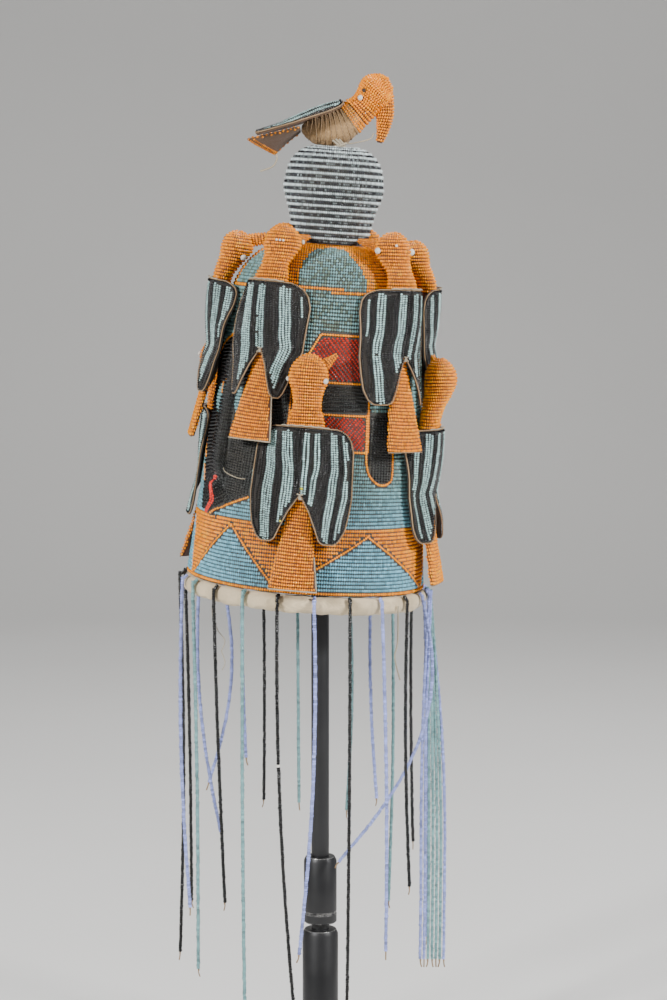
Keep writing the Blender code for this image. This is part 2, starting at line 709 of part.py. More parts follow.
def string_route(crown_matrix, azimuth, length, drift, back, bow):
    """Points of one hanging string: over the roll, then down with its drift and bow."""
    wrap = ROLL_THICKNESS / 2 + GAP + STRING_DIAMETER / 2
    turn = math.radians(azimuth - 90)
    points = []
    for angle in STRING_WRAP:
        radius = RIM_RADIUS - ROLL_INSET + wrap * math.cos(math.radians(angle))
        height = -GAP - ROLL_THICKNESS / 2 + wrap * math.sin(math.radians(angle))
        local = Vector((radius * math.cos(turn), radius * math.sin(turn), height))
        points.append(crown_matrix @ local)
    start = points[-1]
    hanging = length - wrap * math.radians(STRING_WRAP[0])
    if abs(drift) > FAR_DRIFT:
        hanging *= FAR_DRIFT_FALL
    for i in range(1, STRING_STEPS + 1):
        share = i / STRING_STEPS
        sway = drift * share ** DRIFT_POWER + bow * math.sin(math.pi * share)
        points.append(start + Vector((sway, back * share ** BACK_POWER, -hanging * share)))
    return points


def make_string(name, colour, points):
    """A bead string's outer form: a round tube along its route."""
    curve = bpy.data.curves.new(name, "CURVE")
    curve.dimensions = "3D"
    curve.bevel_depth = STRING_DIAMETER / 2
    curve.bevel_resolution = 2
    curve.use_fill_caps = True
    spline = curve.splines.new("POLY")
    spline.points.add(len(points) - 1)
    for slot, point in zip(spline.points, points):
        slot.co = (*point, 1.0)
    obj = bpy.data.objects.new(name, curve)
    PARTS.objects.link(obj)
    paint(obj, colour)


def make_bundle(crown_matrix):
    """Strings that hang close together at the right, as one flat hanging band."""
    drifts = (BUNDLE_DRIFT, 0.0, BUNDLE_BOW)
    route = string_route(crown_matrix, BUNDLE_AZIMUTH, BUNDLE_LENGTH, *drifts)
    turn = math.radians(BUNDLE_AZIMUTH - 90)
    round_rim = Vector((-math.sin(turn), math.cos(turn), 0))
    to_the_right = Vector((1, 0, 0))
    rings = []
    for i, point in enumerate(route[2:]):
        spread = min(i / BUNDLE_SPREAD_STEPS, 1.0)
        width = BUNDLE_WIDTH / 2 * (BUNDLE_START + (1 - BUNDLE_START) * spread)
        side = round_rim.lerp(to_the_right, min(i / BUNDLE_TURN_STEPS, 1.0)).normalized()
        outward = side.cross(Vector((0, 0, 1))) * (STRING_DIAMETER / 2)
        rings.append(oval(point, side * width, outward, TAIL_SQUARENESS, 6))
    smooth(add_mesh("veil_bundle", lofted(rings), "lavender"), 60)


def make_veil(crown_matrix):
    """Every bead string of the veil that hangs from the roll."""
    for i, (colour, *route) in enumerate(STRINGS, start=1):
        name = "veil_string_%02d" % i
        make_string(name, colour, string_route(crown_matrix, *route))
    make_bundle(crown_matrix)


def make_stand(crown_matrix):
    """Round base, lower tube, collar, and the post whose round cap carries the crown."""
    base = [
        (0, BASE_THICKNESS),
        (BASE_RADIUS - CHAMFER, BASE_THICKNESS),
        (BASE_RADIUS, BASE_THICKNESS - CHAMFER),
        (BASE_RADIUS, 0),
        (0, 0),
    ]
    turned("stand_base", base, BASE_SIDES, "steel")
    bore = POST_RADIUS + GAP
    tube = [
        (bore, TUBE_TOP),
        (TUBE_RADIUS - CHAMFER, TUBE_TOP),
        (TUBE_RADIUS, TUBE_TOP - 2 * CHAMFER),
        (TUBE_RADIUS, BASE_THICKNESS + GAP),
        (bore, BASE_THICKNESS + GAP),
        (bore, TUBE_TOP),
    ]
    turned("stand_tube", tube, POST_SIDES, "steel")
    collar = [
        (bore, COLLAR_TOP),
        (COLLAR_RADIUS - CHAMFER, COLLAR_TOP),
        (COLLAR_RADIUS, COLLAR_TOP - 2 * CHAMFER),
        (COLLAR_RADIUS, COLLAR_BOTTOM),
        (bore, COLLAR_BOTTOM),
        (bore, COLLAR_TOP),
    ]
    turned("stand_collar", collar, POST_SIDES, "steel")
    ceiling = crown_matrix @ Vector((0, 0, CROWN_HEIGHT - WALL))
    up = crown_matrix.to_3x3() @ Vector((0, 0, 1))
    # The leaning ceiling stands this high over the post's axis, measured square to it
    level = ceiling.z + ceiling.x * up.x / up.z
    centre = level - (POST_CAP_RADIUS + GAP) / up.z
    post = [(0, centre + POST_CAP_RADIUS)]
    for angle in (60, 30, 0, -30):
        turn = math.radians(angle)
        rise = centre + POST_CAP_RADIUS * math.sin(turn)
        post.append((POST_CAP_RADIUS * math.cos(turn), rise))
    neck = math.acos(POST_RADIUS / POST_CAP_RADIUS)
    post.append((POST_RADIUS, centre - POST_CAP_RADIUS * math.sin(neck)))
    post += [(POST_RADIUS, BASE_THICKNESS + GAP), (0, BASE_THICKNESS + GAP)]
    turned("stand_post", post, POST_SIDES, "steel")


def main():
    clear_scene()
    crown = bpy.data.objects.new("crown_frame", None)
    PARTS.objects.link(crown)
    seat = Matrix.Translation((RIM_SHIFT, 0, RIM_LEVEL))
    crown_matrix = seat @ Matrix.Rotation(LEAN, 4, "Y")
    crown.matrix_world = crown_matrix
    make_stand(crown_matrix)
    make_shell(crown)
    make_roll(crown)
    make_finial(crown)
    make_face(crown)
    for bird in BIRDS:
        make_bird(crown, *bird)
    make_top_bird(crown)
    make_veil(crown_matrix)


PARTS = bpy.data.collections.new("beaded_crown")
HELPERS = bpy.data.collections.new("helpers")
bpy.context.scene.collection.children.link(PARTS)
bpy.context.scene.collection.children.link(HELPERS)
main()
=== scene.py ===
"""Looks of a beaded crown with birds and a veil of bead strings, on a post stand."""

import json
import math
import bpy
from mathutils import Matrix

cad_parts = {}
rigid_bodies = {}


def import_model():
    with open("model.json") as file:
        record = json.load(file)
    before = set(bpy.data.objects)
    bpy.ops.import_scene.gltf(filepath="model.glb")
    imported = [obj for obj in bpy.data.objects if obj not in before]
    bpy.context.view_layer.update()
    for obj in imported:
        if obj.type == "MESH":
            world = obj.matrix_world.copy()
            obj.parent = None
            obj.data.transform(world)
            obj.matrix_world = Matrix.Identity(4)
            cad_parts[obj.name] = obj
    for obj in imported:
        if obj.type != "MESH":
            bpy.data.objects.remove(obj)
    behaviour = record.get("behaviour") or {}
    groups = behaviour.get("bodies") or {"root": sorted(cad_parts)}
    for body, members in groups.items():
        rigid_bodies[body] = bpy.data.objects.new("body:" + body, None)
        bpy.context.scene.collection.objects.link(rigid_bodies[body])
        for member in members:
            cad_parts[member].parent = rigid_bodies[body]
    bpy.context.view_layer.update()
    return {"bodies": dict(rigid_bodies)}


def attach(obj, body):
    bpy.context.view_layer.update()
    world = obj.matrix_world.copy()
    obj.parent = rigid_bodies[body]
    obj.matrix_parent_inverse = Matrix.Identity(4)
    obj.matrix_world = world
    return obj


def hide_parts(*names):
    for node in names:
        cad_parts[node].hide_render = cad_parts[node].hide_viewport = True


bl_info = {
    "name": "Beaded crown",
    "version": (1, 0, 0),
    "blender": (4, 5, 0),
    "location": "3D View > Sidebar > Crown",
    "description": "Beadwork, cloth, veil strings and stand of a beaded crown",
    "category": "Object",
}

import bmesh
import bpy
import numpy as np
from bpy.props import FloatProperty, FloatVectorProperty, IntProperty, PointerProperty
from mathutils import Matrix, Vector
from mathutils.kdtree import KDTree

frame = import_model()
ROOT = next(iter(frame["bodies"]))

# Sizes that the solids have, in metres. The crown's own frame has z up from the rim.
RIM_LEVEL, RIM_SHIFT, LEAN = 0.500, -0.014, math.radians(4.18)
RIM_RADIUS, SHOULDER_RADIUS, SHOULDER_HEIGHT = 0.1125, 0.091, 0.250
SEAT_RADIUS, CROWN_HEIGHT, WALL = 0.036, 0.316, 0.003
ROLL_THICKNESS, ROLL_INSET, GAP = 0.018, 0.005, 0.0003
FINIAL_HEIGHT, FINIAL_RADIUS = 0.090, 0.047
HEAD_WIDTH, HEAD_DEPTH = 0.037, 0.031
BODY_WIDTH, BODY_DEPTH = 0.035, 0.018
TAIL_LENGTH, TAIL_WIDTH, TAIL_THICKNESS, TAIL_FLARE = 0.148, 0.046, 0.009, 0.015
WING_LENGTH, WING_WIDTH, WING_THICKNESS = 0.106, 0.090, 0.004
WING_LIFT, WING_ARCH, WING_FLAT, WING_DROP = 0.010, 0.0015, 0.60, 2.20
BEAK_ROOT, BEAK_TIP = 0.007, 0.0027
STRING_DIAMETER = 0.0034
CROWN = Matrix.Translation((RIM_SHIFT, 0, RIM_LEVEL)) @ Matrix.Rotation(LEAN, 4, "Y")

# Rows of birds: level of the wings' top edge, rise of the head, standoff of neck and head,
# and the share of the rise at which the beak starts
UPPER_RISE = 0.052
UPPER_ROW = (CROWN_HEIGHT - 0.036, UPPER_RISE, 0.006, -0.003, 0.66)
LEFT_SIDE = (CROWN_HEIGHT - 0.040, UPPER_RISE * 0.89, 0.006, 0.0, 0.78)
RIGHT_SIDE = (CROWN_HEIGHT - 0.036, UPPER_RISE * 0.86, 0.006, -0.003, 0.78)
LOWER_ROW = (0.152, 0.065, 0.013, 0.0205, 0.66)

# Birds: name, row, azimuth, shares of wing width and tail length, taper and lift of the left
# and of the right lobe, and the columns of both lobes: b black, t blue-green
BIRDS = (
    ("bird_upper_1", LEFT_SIDE, -85, 0.98, 1.00, (0.9, 0.2), (1.0, 1.0),
     "bttbbbttbbbttbbb", "btttbbbtttbbtttb"),
    ("bird_upper_2", UPPER_ROW, -31, 0.88, 0.98, (0.8, 1), (1.0, 0.1),
     "bbttttbbtt", "tbbbbbttttbbbttb"),
    ("bird_upper_3", UPPER_ROW, 45, 0.96, 1.00, (0.1, 0.5), (0.9, 0.3),
     "tbbtttbbbbtttbb", "bttbbttbbbbtbbb"),
    ("bird_upper_4", RIGHT_SIDE, 106, 0.88, 0.88, (1.0, 0), (0.3, 0.4),
     "bbttbbbttbbbt", "tbbttbbbttbbt"),
    ("bird_upper_5", UPPER_ROW, 155.5, 0.87, 0.98, (0.3, 0.4), (1.0, 0.1),
     "tbbbttbbbttbb", "bbtttbbbttbbt"),
    ("bird_upper_6", UPPER_ROW, 212, 0.88, 1.00, (1.0, 0), (1.0, 0),
     "bbbttbbbttbbt", "tbbttbbbbttbb"),
    ("bird_lower_1", LOWER_ROW, -120, 0.84, 1.00, (0.3, 0.5), (0.3, 0.5),
     "tbbbttbbbbttbbb", "bbbttbbbtttbbbt"),
    ("bird_lower_2", LOWER_ROW, -5, 1.04, 1.00, (0.0, 0.6), (0.1, 0.6),
     "bbbbttttbbbttttbbb", "ttbttbbbbtttbbttbb"),
    ("bird_lower_3", LOWER_ROW, 75, 0.98, 0.98, (0.4, 0.6), (0.3, 0.5),
     "bttbbtttbbttbbb", "bbbttbbbttbbttt"),
    ("bird_lower_4", LOWER_ROW, 180, 1.00, 1.00, (0.3, 0.5), (0.2, 0.5),
     "bbtttbbbbttbbbt", "tbbbttbbbbtttbb"),
)
# Pale cotton hems: bird, and the rings of its tail from and to which they run
HEMMED = {"bird_upper_2": (2.1, 0.1), "bird_lower_2": (0.9, 0.1)}
# Tufts at the notch of the wings: bird and size
TUFTS = {"bird_upper_2": 1.3, "bird_upper_3": 1.3, "bird_lower_2": 1.5}
# Eyes: places along the head's rings and round it in degrees from its front, and radius
EYES = {
    "bird_upper_1": ((7.12, 125, 0.0030), (7.12, -125, 0.0026)),
    "bird_upper_2": ((8.28, 8, 0.0011), (8.28, 18, 0.0011), (8.28, 28, 0.0011), (8.4, 112, 0.0022)),
    "bird_upper_3": ((8.05, -92, 0.0030), (8.52, -30, 0.0013)),
    "bird_upper_4": ((8.60, -116, 0.0034), (8.60, 60, 0.0026)),
    "bird_lower_2": ((7.91, 60, 0.0026), (7.91, -100, 0.0022)),
    "bird_lower_3": ((8.40, 60, 0.0020), (8.40, 130, 0.0020)),
}
# Eyes of a bird that the table above leaves out
PLAIN_EYES = ((8.35, -33, 0.0022), (8.35, 33, 0.0022))
# Yellow beads on one wing: bird, and places in its own frame
YELLOW_BEADS = ("bird_lower_2", ((0.0153, 0.0008, -0.0552), (0.0172, -0.0155, -0.0866)))
# A white bead on one string: string and level
WHITE_BEAD = ("veil_string_06", 0.343)
# Loose threads: thickness, and points in metres
LOOSE_THREADS = (
    (0.0009, ((-0.0979, -0.081, 0.4905), (-0.0988, -0.081, 0.4773), (-0.0935, -0.080, 0.4618))),
    (0.0008, ((-0.0935, -0.080, 0.4618), (-0.0873, -0.081, 0.4530), (-0.0905, -0.081, 0.4433))),
    (0.0008, ((-0.0905, -0.081, 0.4433), (-0.0872, -0.082, 0.4330), (-0.0899, -0.081, 0.4256))),
    (0.0014, ((0.0722, -0.079, 0.4850), (0.0718, -0.080, 0.4522),
              (0.0692, -0.080, 0.4370), (0.0740, -0.080, 0.4161))),
    (0.0017, ((-0.0404, -0.012, 0.8985), (-0.0398, -0.013, 0.8940),
              (-0.0440, -0.013, 0.8870), (-0.0552, -0.012, 0.8828))),
    (0.0013, ((0.0243, -0.012, 0.9085), (0.0299, -0.006, 0.9085),
              (0.0463, -0.002, 0.9125), (0.0500, -0.002, 0.9180))),
)
# Knot of cloth where the top bird is tied to the finial
KNOT = (
    ((0.0122, -0.0130, 0.9112), (0.0160, -0.0150, 0.9078), (0.0205, -0.0150, 0.9040)),
    ((0.0148, -0.0135, 0.9122), (0.0188, -0.0155, 0.9082), (0.0222, -0.0148, 0.9042)),
    ((0.0180, -0.0135, 0.9118), (0.0212, -0.0150, 0.9085), (0.0236, -0.0140, 0.9046)),
    ((0.0135, -0.0150, 0.9052), (0.0190, -0.0168, 0.9062), (0.0246, -0.0140, 0.9085)),
)
# Turns of cloth strip round the top bird: ring of its body and slant
WRAPS = (
    (0.75, 0.16), (1.25, 0.2), (1.7, -0.12), (2.1, 0.2), (2.45, 0.24),
    (2.8, 0.22), (3.15, 0.26), (3.5, 0.24), (3.85, 0.2), (4.2, 0.16),
)
# Sections of a bird's tail: place down its length, width, depth and flare from the crown, as shares
TAIL_SECTIONS = (
    (1.00, 1.00, 0.44, 1.00), (0.77, 0.76, 0.50, 0.58), (0.575, 0.53, 0.53, 0.25), (0.41, 0.37, 0.56, 0.03),
)
# Sections of its neck and head: place up the rise, width, depth and lean from neck to head, as shares
HEAD_SECTIONS = (
    (0.28, 0.73, 0.71, 0.00), (0.48, 0.80, 0.86, 0.65), (0.66, 1.00, 1.00, 1.00),
    (0.84, 0.86, 0.88, 1.00), (0.96, 0.48, 0.50, 0.96), (1.00, 0.16, 0.16, 0.94),
)
# Levels of a wing: place down it, outer edge of a full and of a tapered lobe, and inner edge, as shares
WING_ROWS = (
    (0.00, 0.57, 0.53, 0.00), (0.02, 0.70, 0.66, 0.00), (0.05, 0.81, 0.77, 0.00), (0.10, 0.89, 0.86, 0.00),
    (0.20, 0.95, 0.93, 0.00), (0.585, 1.00, 0.88, 0.00), (0.72, 0.98, 0.76, 0.19), (0.86, 0.93, 0.70, 0.33),
    (0.96, 0.82, 0.64, 0.42), (1.00, 0.70, 0.58, 0.50),
)
# Profile of the finial: place up its height, and radius, as shares
FINIAL_PROFILE = (
    (0.00, 0.76), (0.13, 0.80), (0.30, 0.86), (0.44, 0.945), (0.53, 1.00),
    (0.63, 1.00), (0.78, 0.945), (0.89, 0.83), (0.965, 0.64), (1.00, 0.40),
)

# Raised face: azimuth, level, width, length and height of each padded oval, and the ridge
MOUTH_OVAL = (-57.5, 0.076, 0.026, 0.036, 0.008)
EYE_OVALS = ((-67, 0.168, 0.016, 0.027, 0.003), (-46, 0.168, 0.016, 0.027, 0.003))
RIDGE_AZIMUTH, RIDGE_LEAN = -56.5, math.radians(3)
RIDGE_BOTTOM, RIDGE_TOP, RIDGE_WIDTH, RIDGE_HEIGHT = 0.098, 0.228, 0.017, 0.008
RIDGE_MIDDLE, RIDGE_HALF = (RIDGE_BOTTOM + RIDGE_TOP) / 2, (RIDGE_TOP - RIDGE_BOTTOM) / 2

# Patterns on the shell, as outlines in degrees round it and millimetres over the rim
TRIANGLES = ((-70, -42, -14), (-12, 30.5, 73), (75, 104, 133), (135, 164, 193), (195, 210.5, 226))
SIDE_PATCH = ((226, 3), (262, 53), (279, 53), (288, 3))
ARCHES = ((-18.6, 26.5), (54, 97), (113, 149), (163, 206), (220, 267), (283, 320))
# An arch's outline: share of its width, and level
ARCH_LINE = (
    (0.0, 270), (0.0, 281), (0.0, 299), (0.05, 308.5), (0.164, 312.6), (0.48, 315.2), (0.78, 313.4),
    (0.924, 302.8), (1.0, 287.3), (0.98, 277.5), (0.98, 270),
)
# Levels in millimetres: the rim's row, the tops of the triangles and their band, and the shoulder's edge
RIM_ROW, APEX, BAND_TOP, SHOULDER_EDGE = 3.4, 53, 62.5, 277
FACE_OUTLINE = (
    (-104, 150), (-99, 192), (-80, 214), (-55, 232), (-36, 224), (-18, 205), (-9, 178), (-12, 160),
    (-32, 132), (-33.5, 86), (-42, 77.5), (-56, 63.5), (-73, 64), (-75, 78), (-76, 92), (-81, 104),
    (-92, 128),
)
CHEEK_OUTLINE = ((-50.5, 150), (-28, 150), (-32, 131), (-33, 84), (-42, 76), (-50, 84), (-53, 118))
JOWL_OUTLINE = ((-72, 98), (-54, 98), (-50, 84), (-42, 77), (-56, 62), (-73, 64))
LIPS = ((-60.9, 97), (-60.2, 92), (-56.6, 84), (-54.4, 76), (-56.6, 68), (-60.8, 62))
LIP_TOP = ((-60.6, 96.6), (-58.2, 96.0))
FACE_THREAD = ((-52.7, 105.5), (-51, 102.5), (-46.2, 100.2), (-40, 98.6), (-35.8, 98.9))
U_OUTLINE = (
    (28, 166), (28, 131), (28.6, 119), (30.5, 110), (35, 103), (39, 101.5), (43, 104), (45.5, 113),
    (45.5, 166),
)
RED_UPPER = ((-1, 236), (28.8, 236), (28.8, 193), (-15, 193))
RED_LOWER = ((-15, 164), (28.8, 164), (28.8, 131), (-15, 131))
BLACK_BAND = ((-15, 193), (28.8, 193), (28.8, 164), (-15, 164))
# Regions sewn in rows of their own: outline, slant of the rows in degrees, colour and row pitch
REGIONS = (
    (JOWL_OUTLINE, 38, "black", 0.0031), (CHEEK_OUTLINE, 86, "black", 0.0034),
    (FACE_OUTLINE, 8, "black", 0.0034), (U_OUTLINE, 88, "black", 0.0034), (RED_UPPER, -50, "red", 0.0032),
    (RED_LOWER, 46, "red", 0.0032), (BLACK_BAND, 0, "black", 0.0034),
)
# Orange strands that edge the shapes: the patch, the side panel, the jaw and the face
EDGE_STRANDS = (
    SIDE_PATCH, U_OUTLINE, ((-1, 236), (28.8, 236)), ((-15, 193), (28.8, 193)), ((-15, 164), (28.8, 164)),
    ((-15, 131), (28.8, 131)), ((28.8, 131), (28.8, 236)), ((-1, 236), (-15, 193)), ((-15, 193), (-15, 131)),
    ((-56, 62.5), (-50, 70), (-41.7, 76.5), (-37, 80), (-33, 83)),
    ((-75.4, 89), (-77.5, 96), (-81.4, 104)),
    ((-62.5, 190), (-60.5, 186), (-59.0, 180), (-59.6, 173)),
    ((-58, 232), (-80, 215), (-99, 193), (-105, 150), (-93, 127), (-80, 110)),
)

# Bird on the finial: place along and above its seat, and radius, as shares of its size
TOP_SIZE, TOP_FLATTEN = 0.100, 0.88
TOP_BODY = (
    (-0.324, 0.193, 0.035), (-0.259, 0.186, 0.100), (-0.155, 0.186, 0.155),
    (-0.024, 0.195, 0.187), (0.099, 0.268, 0.165), (0.180, 0.335, 0.140),
)
TOP_HEAD = (
    (0.183, 0.338, 0.155), (0.275, 0.414, 0.145), (0.371, 0.540, 0.176),
    (0.450, 0.590, 0.130), (0.500, 0.615, 0.050),
)
TOP_BEAK = ((0.440, 0.500, 0.100), (0.450, 0.310, 0.088), (0.428, 0.165, 0.062), (0.400, 0.061, 0.040))
# Its tail: place along it, width and depth, as shares
TOP_TAIL = ((0.0, 0.28, 1.00), (0.5, 0.62, 1.06), (1.0, 1.00, 0.94))
TOP_TAIL_ROOT, TOP_TAIL_END = (-0.340, 0.185), (-0.700, 0.025)
TOP_TAIL_SIDE, TOP_TAIL_WIDTH, TOP_TAIL_THICKNESS = (0.61, 0.72, -0.32), 0.044, 0.006
# Its wings: share of a bird's wing, root, slope, how they bend, and their columns
TOP_WING_SHARE, TOP_WING_BEND = 0.82, 0.150
TOP_WING_ROOT, TOP_WING_SLOPE = (0.078, 0.4015), math.radians(17)
TOP_WING_COLUMNS = ("tbbbttbbbtbb", "bbtttbbbttbb")

# Veil strings: colour, azimuth, length, drift to the right and back, bow at mid length
STRINGS = (
    ("black", -88, 0.372, -0.002, 0.000, 0.003),
    ("lavender", -75, 0.322, 0.005, 0.004, -0.004),
    ("teal", -60.7, 0.372, 0.003, 0.000, 0.002),
    ("black", -44.3, 0.300, 0.009, 0.002, 0.001),
    ("teal", -28.0, 0.418, 0.001, 0.000, -0.001),
    ("black", -11.6, 0.404, 0.016, 0.001, -0.002),
    ("lavender", 4.8, 0.332, -0.014, -0.003, 0.003),
    ("black", 21.1, 0.408, -0.003, 0.000, 0.000),
    ("lavender", 37.5, 0.332, 0.004, 0.000, 0.003),
    ("black", 53.9, 0.276, 0.003, 0.003, -0.002),
    ("lavender", 70.2, 0.280, -0.079, 0.012, 0.022),
    ("lavender", 104, 0.350, 0.004, 0.002, 0.003),
    ("black", 119, 0.262, 0.002, -0.002, -0.001),
    ("teal", 134, 0.330, -0.003, 0.000, 0.002),
    ("lavender", 147, 0.232, 0.006, 0.001, -0.002),
    ("teal", 159, 0.248, -0.002, 0.000, 0.004),
    ("teal", 184, 0.246, 0.001, 0.001, 0.000),
    ("black", 201, 0.244, 0.000, 0.002, 0.001),
    ("lavender", 212, 0.200, 0.003, 0.000, -0.001),
    ("lavender", 225, 0.222, -0.012, -0.004, 0.014),
    ("lavender", 240, 0.268, 0.019, -0.002, -0.006),
    ("black", 256, 0.330, 0.004, 0.000, 0.002),
)
BUNDLE = (88, 0.362, 0.004, 0.0, 0.003)
BUNDLE_WIDTH, BUNDLE_START = 0.026, 0.62
BUNDLE_COLOURS = ("lavender", "lavender", "teal", "teal", "teal", "teal", "lavender")
# Degrees over the roll at which a string starts, bead to bead along it, and half a bundled string
STRING_START, STRING_PITCH, BUNDLE_HALF = 52, 0.0023, 0.0017

# Stand
POST_RADIUS, POST_CAP_RADIUS = 0.0085, 0.020
COLLAR_RADIUS, COLLAR_BOTTOM, COLLAR_TOP = 0.0158, 0.166, 0.2305
TUBE_RADIUS, TUBE_TOP = 0.0172, 0.159
BASE_RADIUS, BASE_THICKNESS, CHAMFER = 0.140, 0.012, 0.002

# How deep a sewn bead's middle lies under the solid's face, and the cloth below it
BEAD_DEPTH, CLOTH_DEPTH = 0.0015, 0.0016
# Shares of its pitch that a bead fills: along the shell's rows, along the birds' rows, and across a row
SHELL_FILL, BIRD_FILL, ROW_FILL = 0.92, 0.90, 0.98
# Steps in which a ring of beads and the line up a form are measured
RING_STEPS, FRONT_STEPS = 96, 240
# How near to an edging strand a sewn bead may lie, and how far a region's rows reach from its middle
STRAND_ROOM, REGION_REACH = 0.00235, 0.085
# Room that a wing's columns leave for its border at the outer edge and at the notch
BORDER_ROOM, NOTCH_ROOM = 0.0047, 0.0045
# Share of a wing's beads that are missing
MISSING_BEADS = 0.002
# How near two points are merged, and for how many frames a padded piece swells
MERGE_WITHIN, PUFF_FRAMES = 0.00001, 20
# How uneven hand-sewn beads are: spread, least and most of their length, width and tone
UNEVEN_LENGTH, UNEVEN_WIDTH, UNEVEN_TONE = (0.07, 0.84, 1.12), (0.05, 0.88, 1.08), (0.17, 0.55, 1.45)
# and the spreads of their tilt and of how high they lie
UNEVEN_TILT, UNEVEN_LIFT = 0.05, 0.00014

# Cloth and thread colours that are the same on every piece. The orange and the wing cloth under the beads
# are dark, painted shade in the gaps between the beads
SHADED_ORANGE_CLOTH, SHADED_WING_CLOTH, BROWN_CLOTH = (0.15, 0.036, 0.005), (0.016, 0.014, 0.012), (0.13, 0.060, 0.022)
PALE_THREAD, DARK_THREAD = (0.55, 0.47, 0.34), (0.06, 0.04, 0.03)
# Steel where the paint is worn off, and the floor's two tones
BARE_STEEL, FLOOR_TONES = (0.55, 0.54, 0.52, 1), ((0.72, 0.71, 0.69, 1), (0.76, 0.75, 0.73, 1))

# Stage: the floor's size and middle, and the height and curve of its back
FLOOR_SIZE, FLOOR_MIDDLE, BACKDROP_HEIGHT, BACKDROP_CURVE = 7.0, -0.6, 4.5, 1.2
# Lamps that point at the crown: name, place, size and power
LAMPS = (
    ("left_light", (-1.5, -1.6, 1.55), 0.40, 68), ("right_light", (1.7, -1.1, 1.45), 0.40, 62),
    ("front_light", (0.2, -2.4, 2.3), 1.2, 9), ("back_light", (0.5, 1.3, 2.2), 1.2, 24),
)
LAMPS_AIM = (0, 0, 0.62)
# The sky's strength as light and as the camera sees it, and its colour
SKY_LIGHT, SKY_SEEN, SKY_COLOUR = 0.13, 0.45, (0.97, 0.98, 1.0, 1)
# Camera: place, tilt down in degrees, and the lens and its film's height in millimetres
CAMERA_PLACE, CAMERA_TILT, CAMERA_LENS, FILM_HEIGHT = (0.0127, -2.5, 0.856), 6.43, 95.76, 36.0

MATERIALS = {}
BEAD_FORMS = {}


def length_setting(name, description, default):
    return FloatProperty(name=name, description=description, default=default, unit="LENGTH")


def colour_setting(name, description, default):
    return FloatVectorProperty(name=name, description=description, default=default, subtype="COLOR")


class CrownSizes(bpy.types.PropertyGroup):
    """Sizes of the beadwork."""

    bead_pitch: length_setting("Bead pitch", "Bead to bead along a row", 0.00235)
    row_pitch: length_setting("Row pitch", "Row to row on the crown", 0.0034)
    bird_pitch: length_setting("Bird bead pitch", "Bead to bead on birds and wings", 0.0021)
    bird_row: length_setting("Bird row pitch", "Row to row on the birds", 0.0031)
    column_pitch: length_setting("Column pitch", "Column to column on wings", 0.0029)
    finial_pitch: length_setting("Finial row pitch", "Row to row on the finial", 0.00305)
    piping: length_setting("Piping", "Thickness of the wings' edge cord", 0.0012)
    seed: IntProperty(name="Seed", description="Start of the hand-made irregularity", default=7)


class CrownColours(bpy.types.PropertyGroup):
    """Colours of beads, cloth and stand."""

    orange: colour_setting("Orange beads", "Birds and bands", (1.0, 0.30, 0.006))
    teal: colour_setting("Blue-green beads", "Ground and eyes", (0.19, 0.36, 0.37))
    blue: colour_setting("Pale blue beads", "Triangles of the band", (0.19, 0.46, 0.58))
    mint: colour_setting("Pale mint beads", "Wing columns", (0.42, 0.61, 0.59))
    olive: colour_setting("Olive beads", "Odd beads of the ground", (0.13, 0.15, 0.09))
    black: colour_setting("Black beads", "Face, wings, strings", (0.006, 0.006, 0.007))
    red: colour_setting("Red beads", "Side panel", (0.40, 0.020, 0.007))
    scarlet: colour_setting("Bright red beads", "Mouth", (0.85, 0.045, 0.030))
    lavender: colour_setting("Lavender beads", "Veil strings", (0.30, 0.35, 0.72))
    pale: colour_setting("Pale beads", "Finial rows", (0.60, 0.69, 0.70))
    slate: colour_setting("Dark finial beads", "Finial rows", (0.012, 0.013, 0.017))
    yellow: colour_setting("Yellow beads", "Odd beads on a wing", (0.75, 0.68, 0.03))
    white: colour_setting("White beads", "Eyes of the birds", (0.80, 0.77, 0.70))
    tan: colour_setting("Tan cord", "Edge cords and threads", (0.46, 0.30, 0.16))
    cotton: colour_setting("Cotton", "Padded roll", (0.98, 0.79, 0.51))
    wrapping: colour_setting("Wrapping", "Wound cloth of the top bird", (0.52, 0.31, 0.13))
    # dark, so that the gaps between the beads look shaded: painted shade
    backing: colour_setting("Backing", "Cloth under the beads", (0.045, 0.05, 0.045))
    steel: colour_setting("Stand paint", "Satin black", (0.008, 0.008, 0.009))


def sizes():
    return bpy.context.scene.crown_sizes


def colour(name):
    return tuple(getattr(bpy.context.scene.crown_colours, name))


def draws(number):
    """Random draws of one piece."""
    return np.random.default_rng(sizes().seed + number)


def set_mode(mode):
    bpy.ops.object.mode_set(mode=mode)


def select_mesh():
    bpy.ops.mesh.select_all(action="SELECT")


def deselect():
    if bpy.context.mode != "OBJECT":
        set_mode("OBJECT")
    bpy.ops.object.select_all(action="DESELECT")


def pick(obj):
    """Selects one object alone and makes it the active one."""
    deselect()
    obj.select_set(True)
    bpy.context.view_layer.objects.active = obj


def named(name):
    """The object that an operator has just added, under its own name."""
    obj = bpy.context.object
    obj.name = obj.data.name = name
    return obj


def added(name, data):
    """A new object in the scene."""
    obj = bpy.data.objects.new(name, data)
    bpy.context.scene.collection.objects.link(obj)
    return obj


def coated(obj, material):
    obj.data.materials.append(MATERIALS[material])
    return obj


def close_skin():
    """Turns all faces of the mesh in edit mode outwards, and leaves that mode."""
    select_mesh()
    bpy.ops.mesh.normals_make_consistent(inside=False)
    set_mode("OBJECT")


def vertex_places(obj):
    return np.array([v.co[:] for v in obj.data.vertices])


def azimuth_of(places):
    """Degrees round the crown from its front, towards the photo's right."""
    return np.degrees(np.arctan2(places[:, 0], -places[:, 1]))


# Reading tables and lines


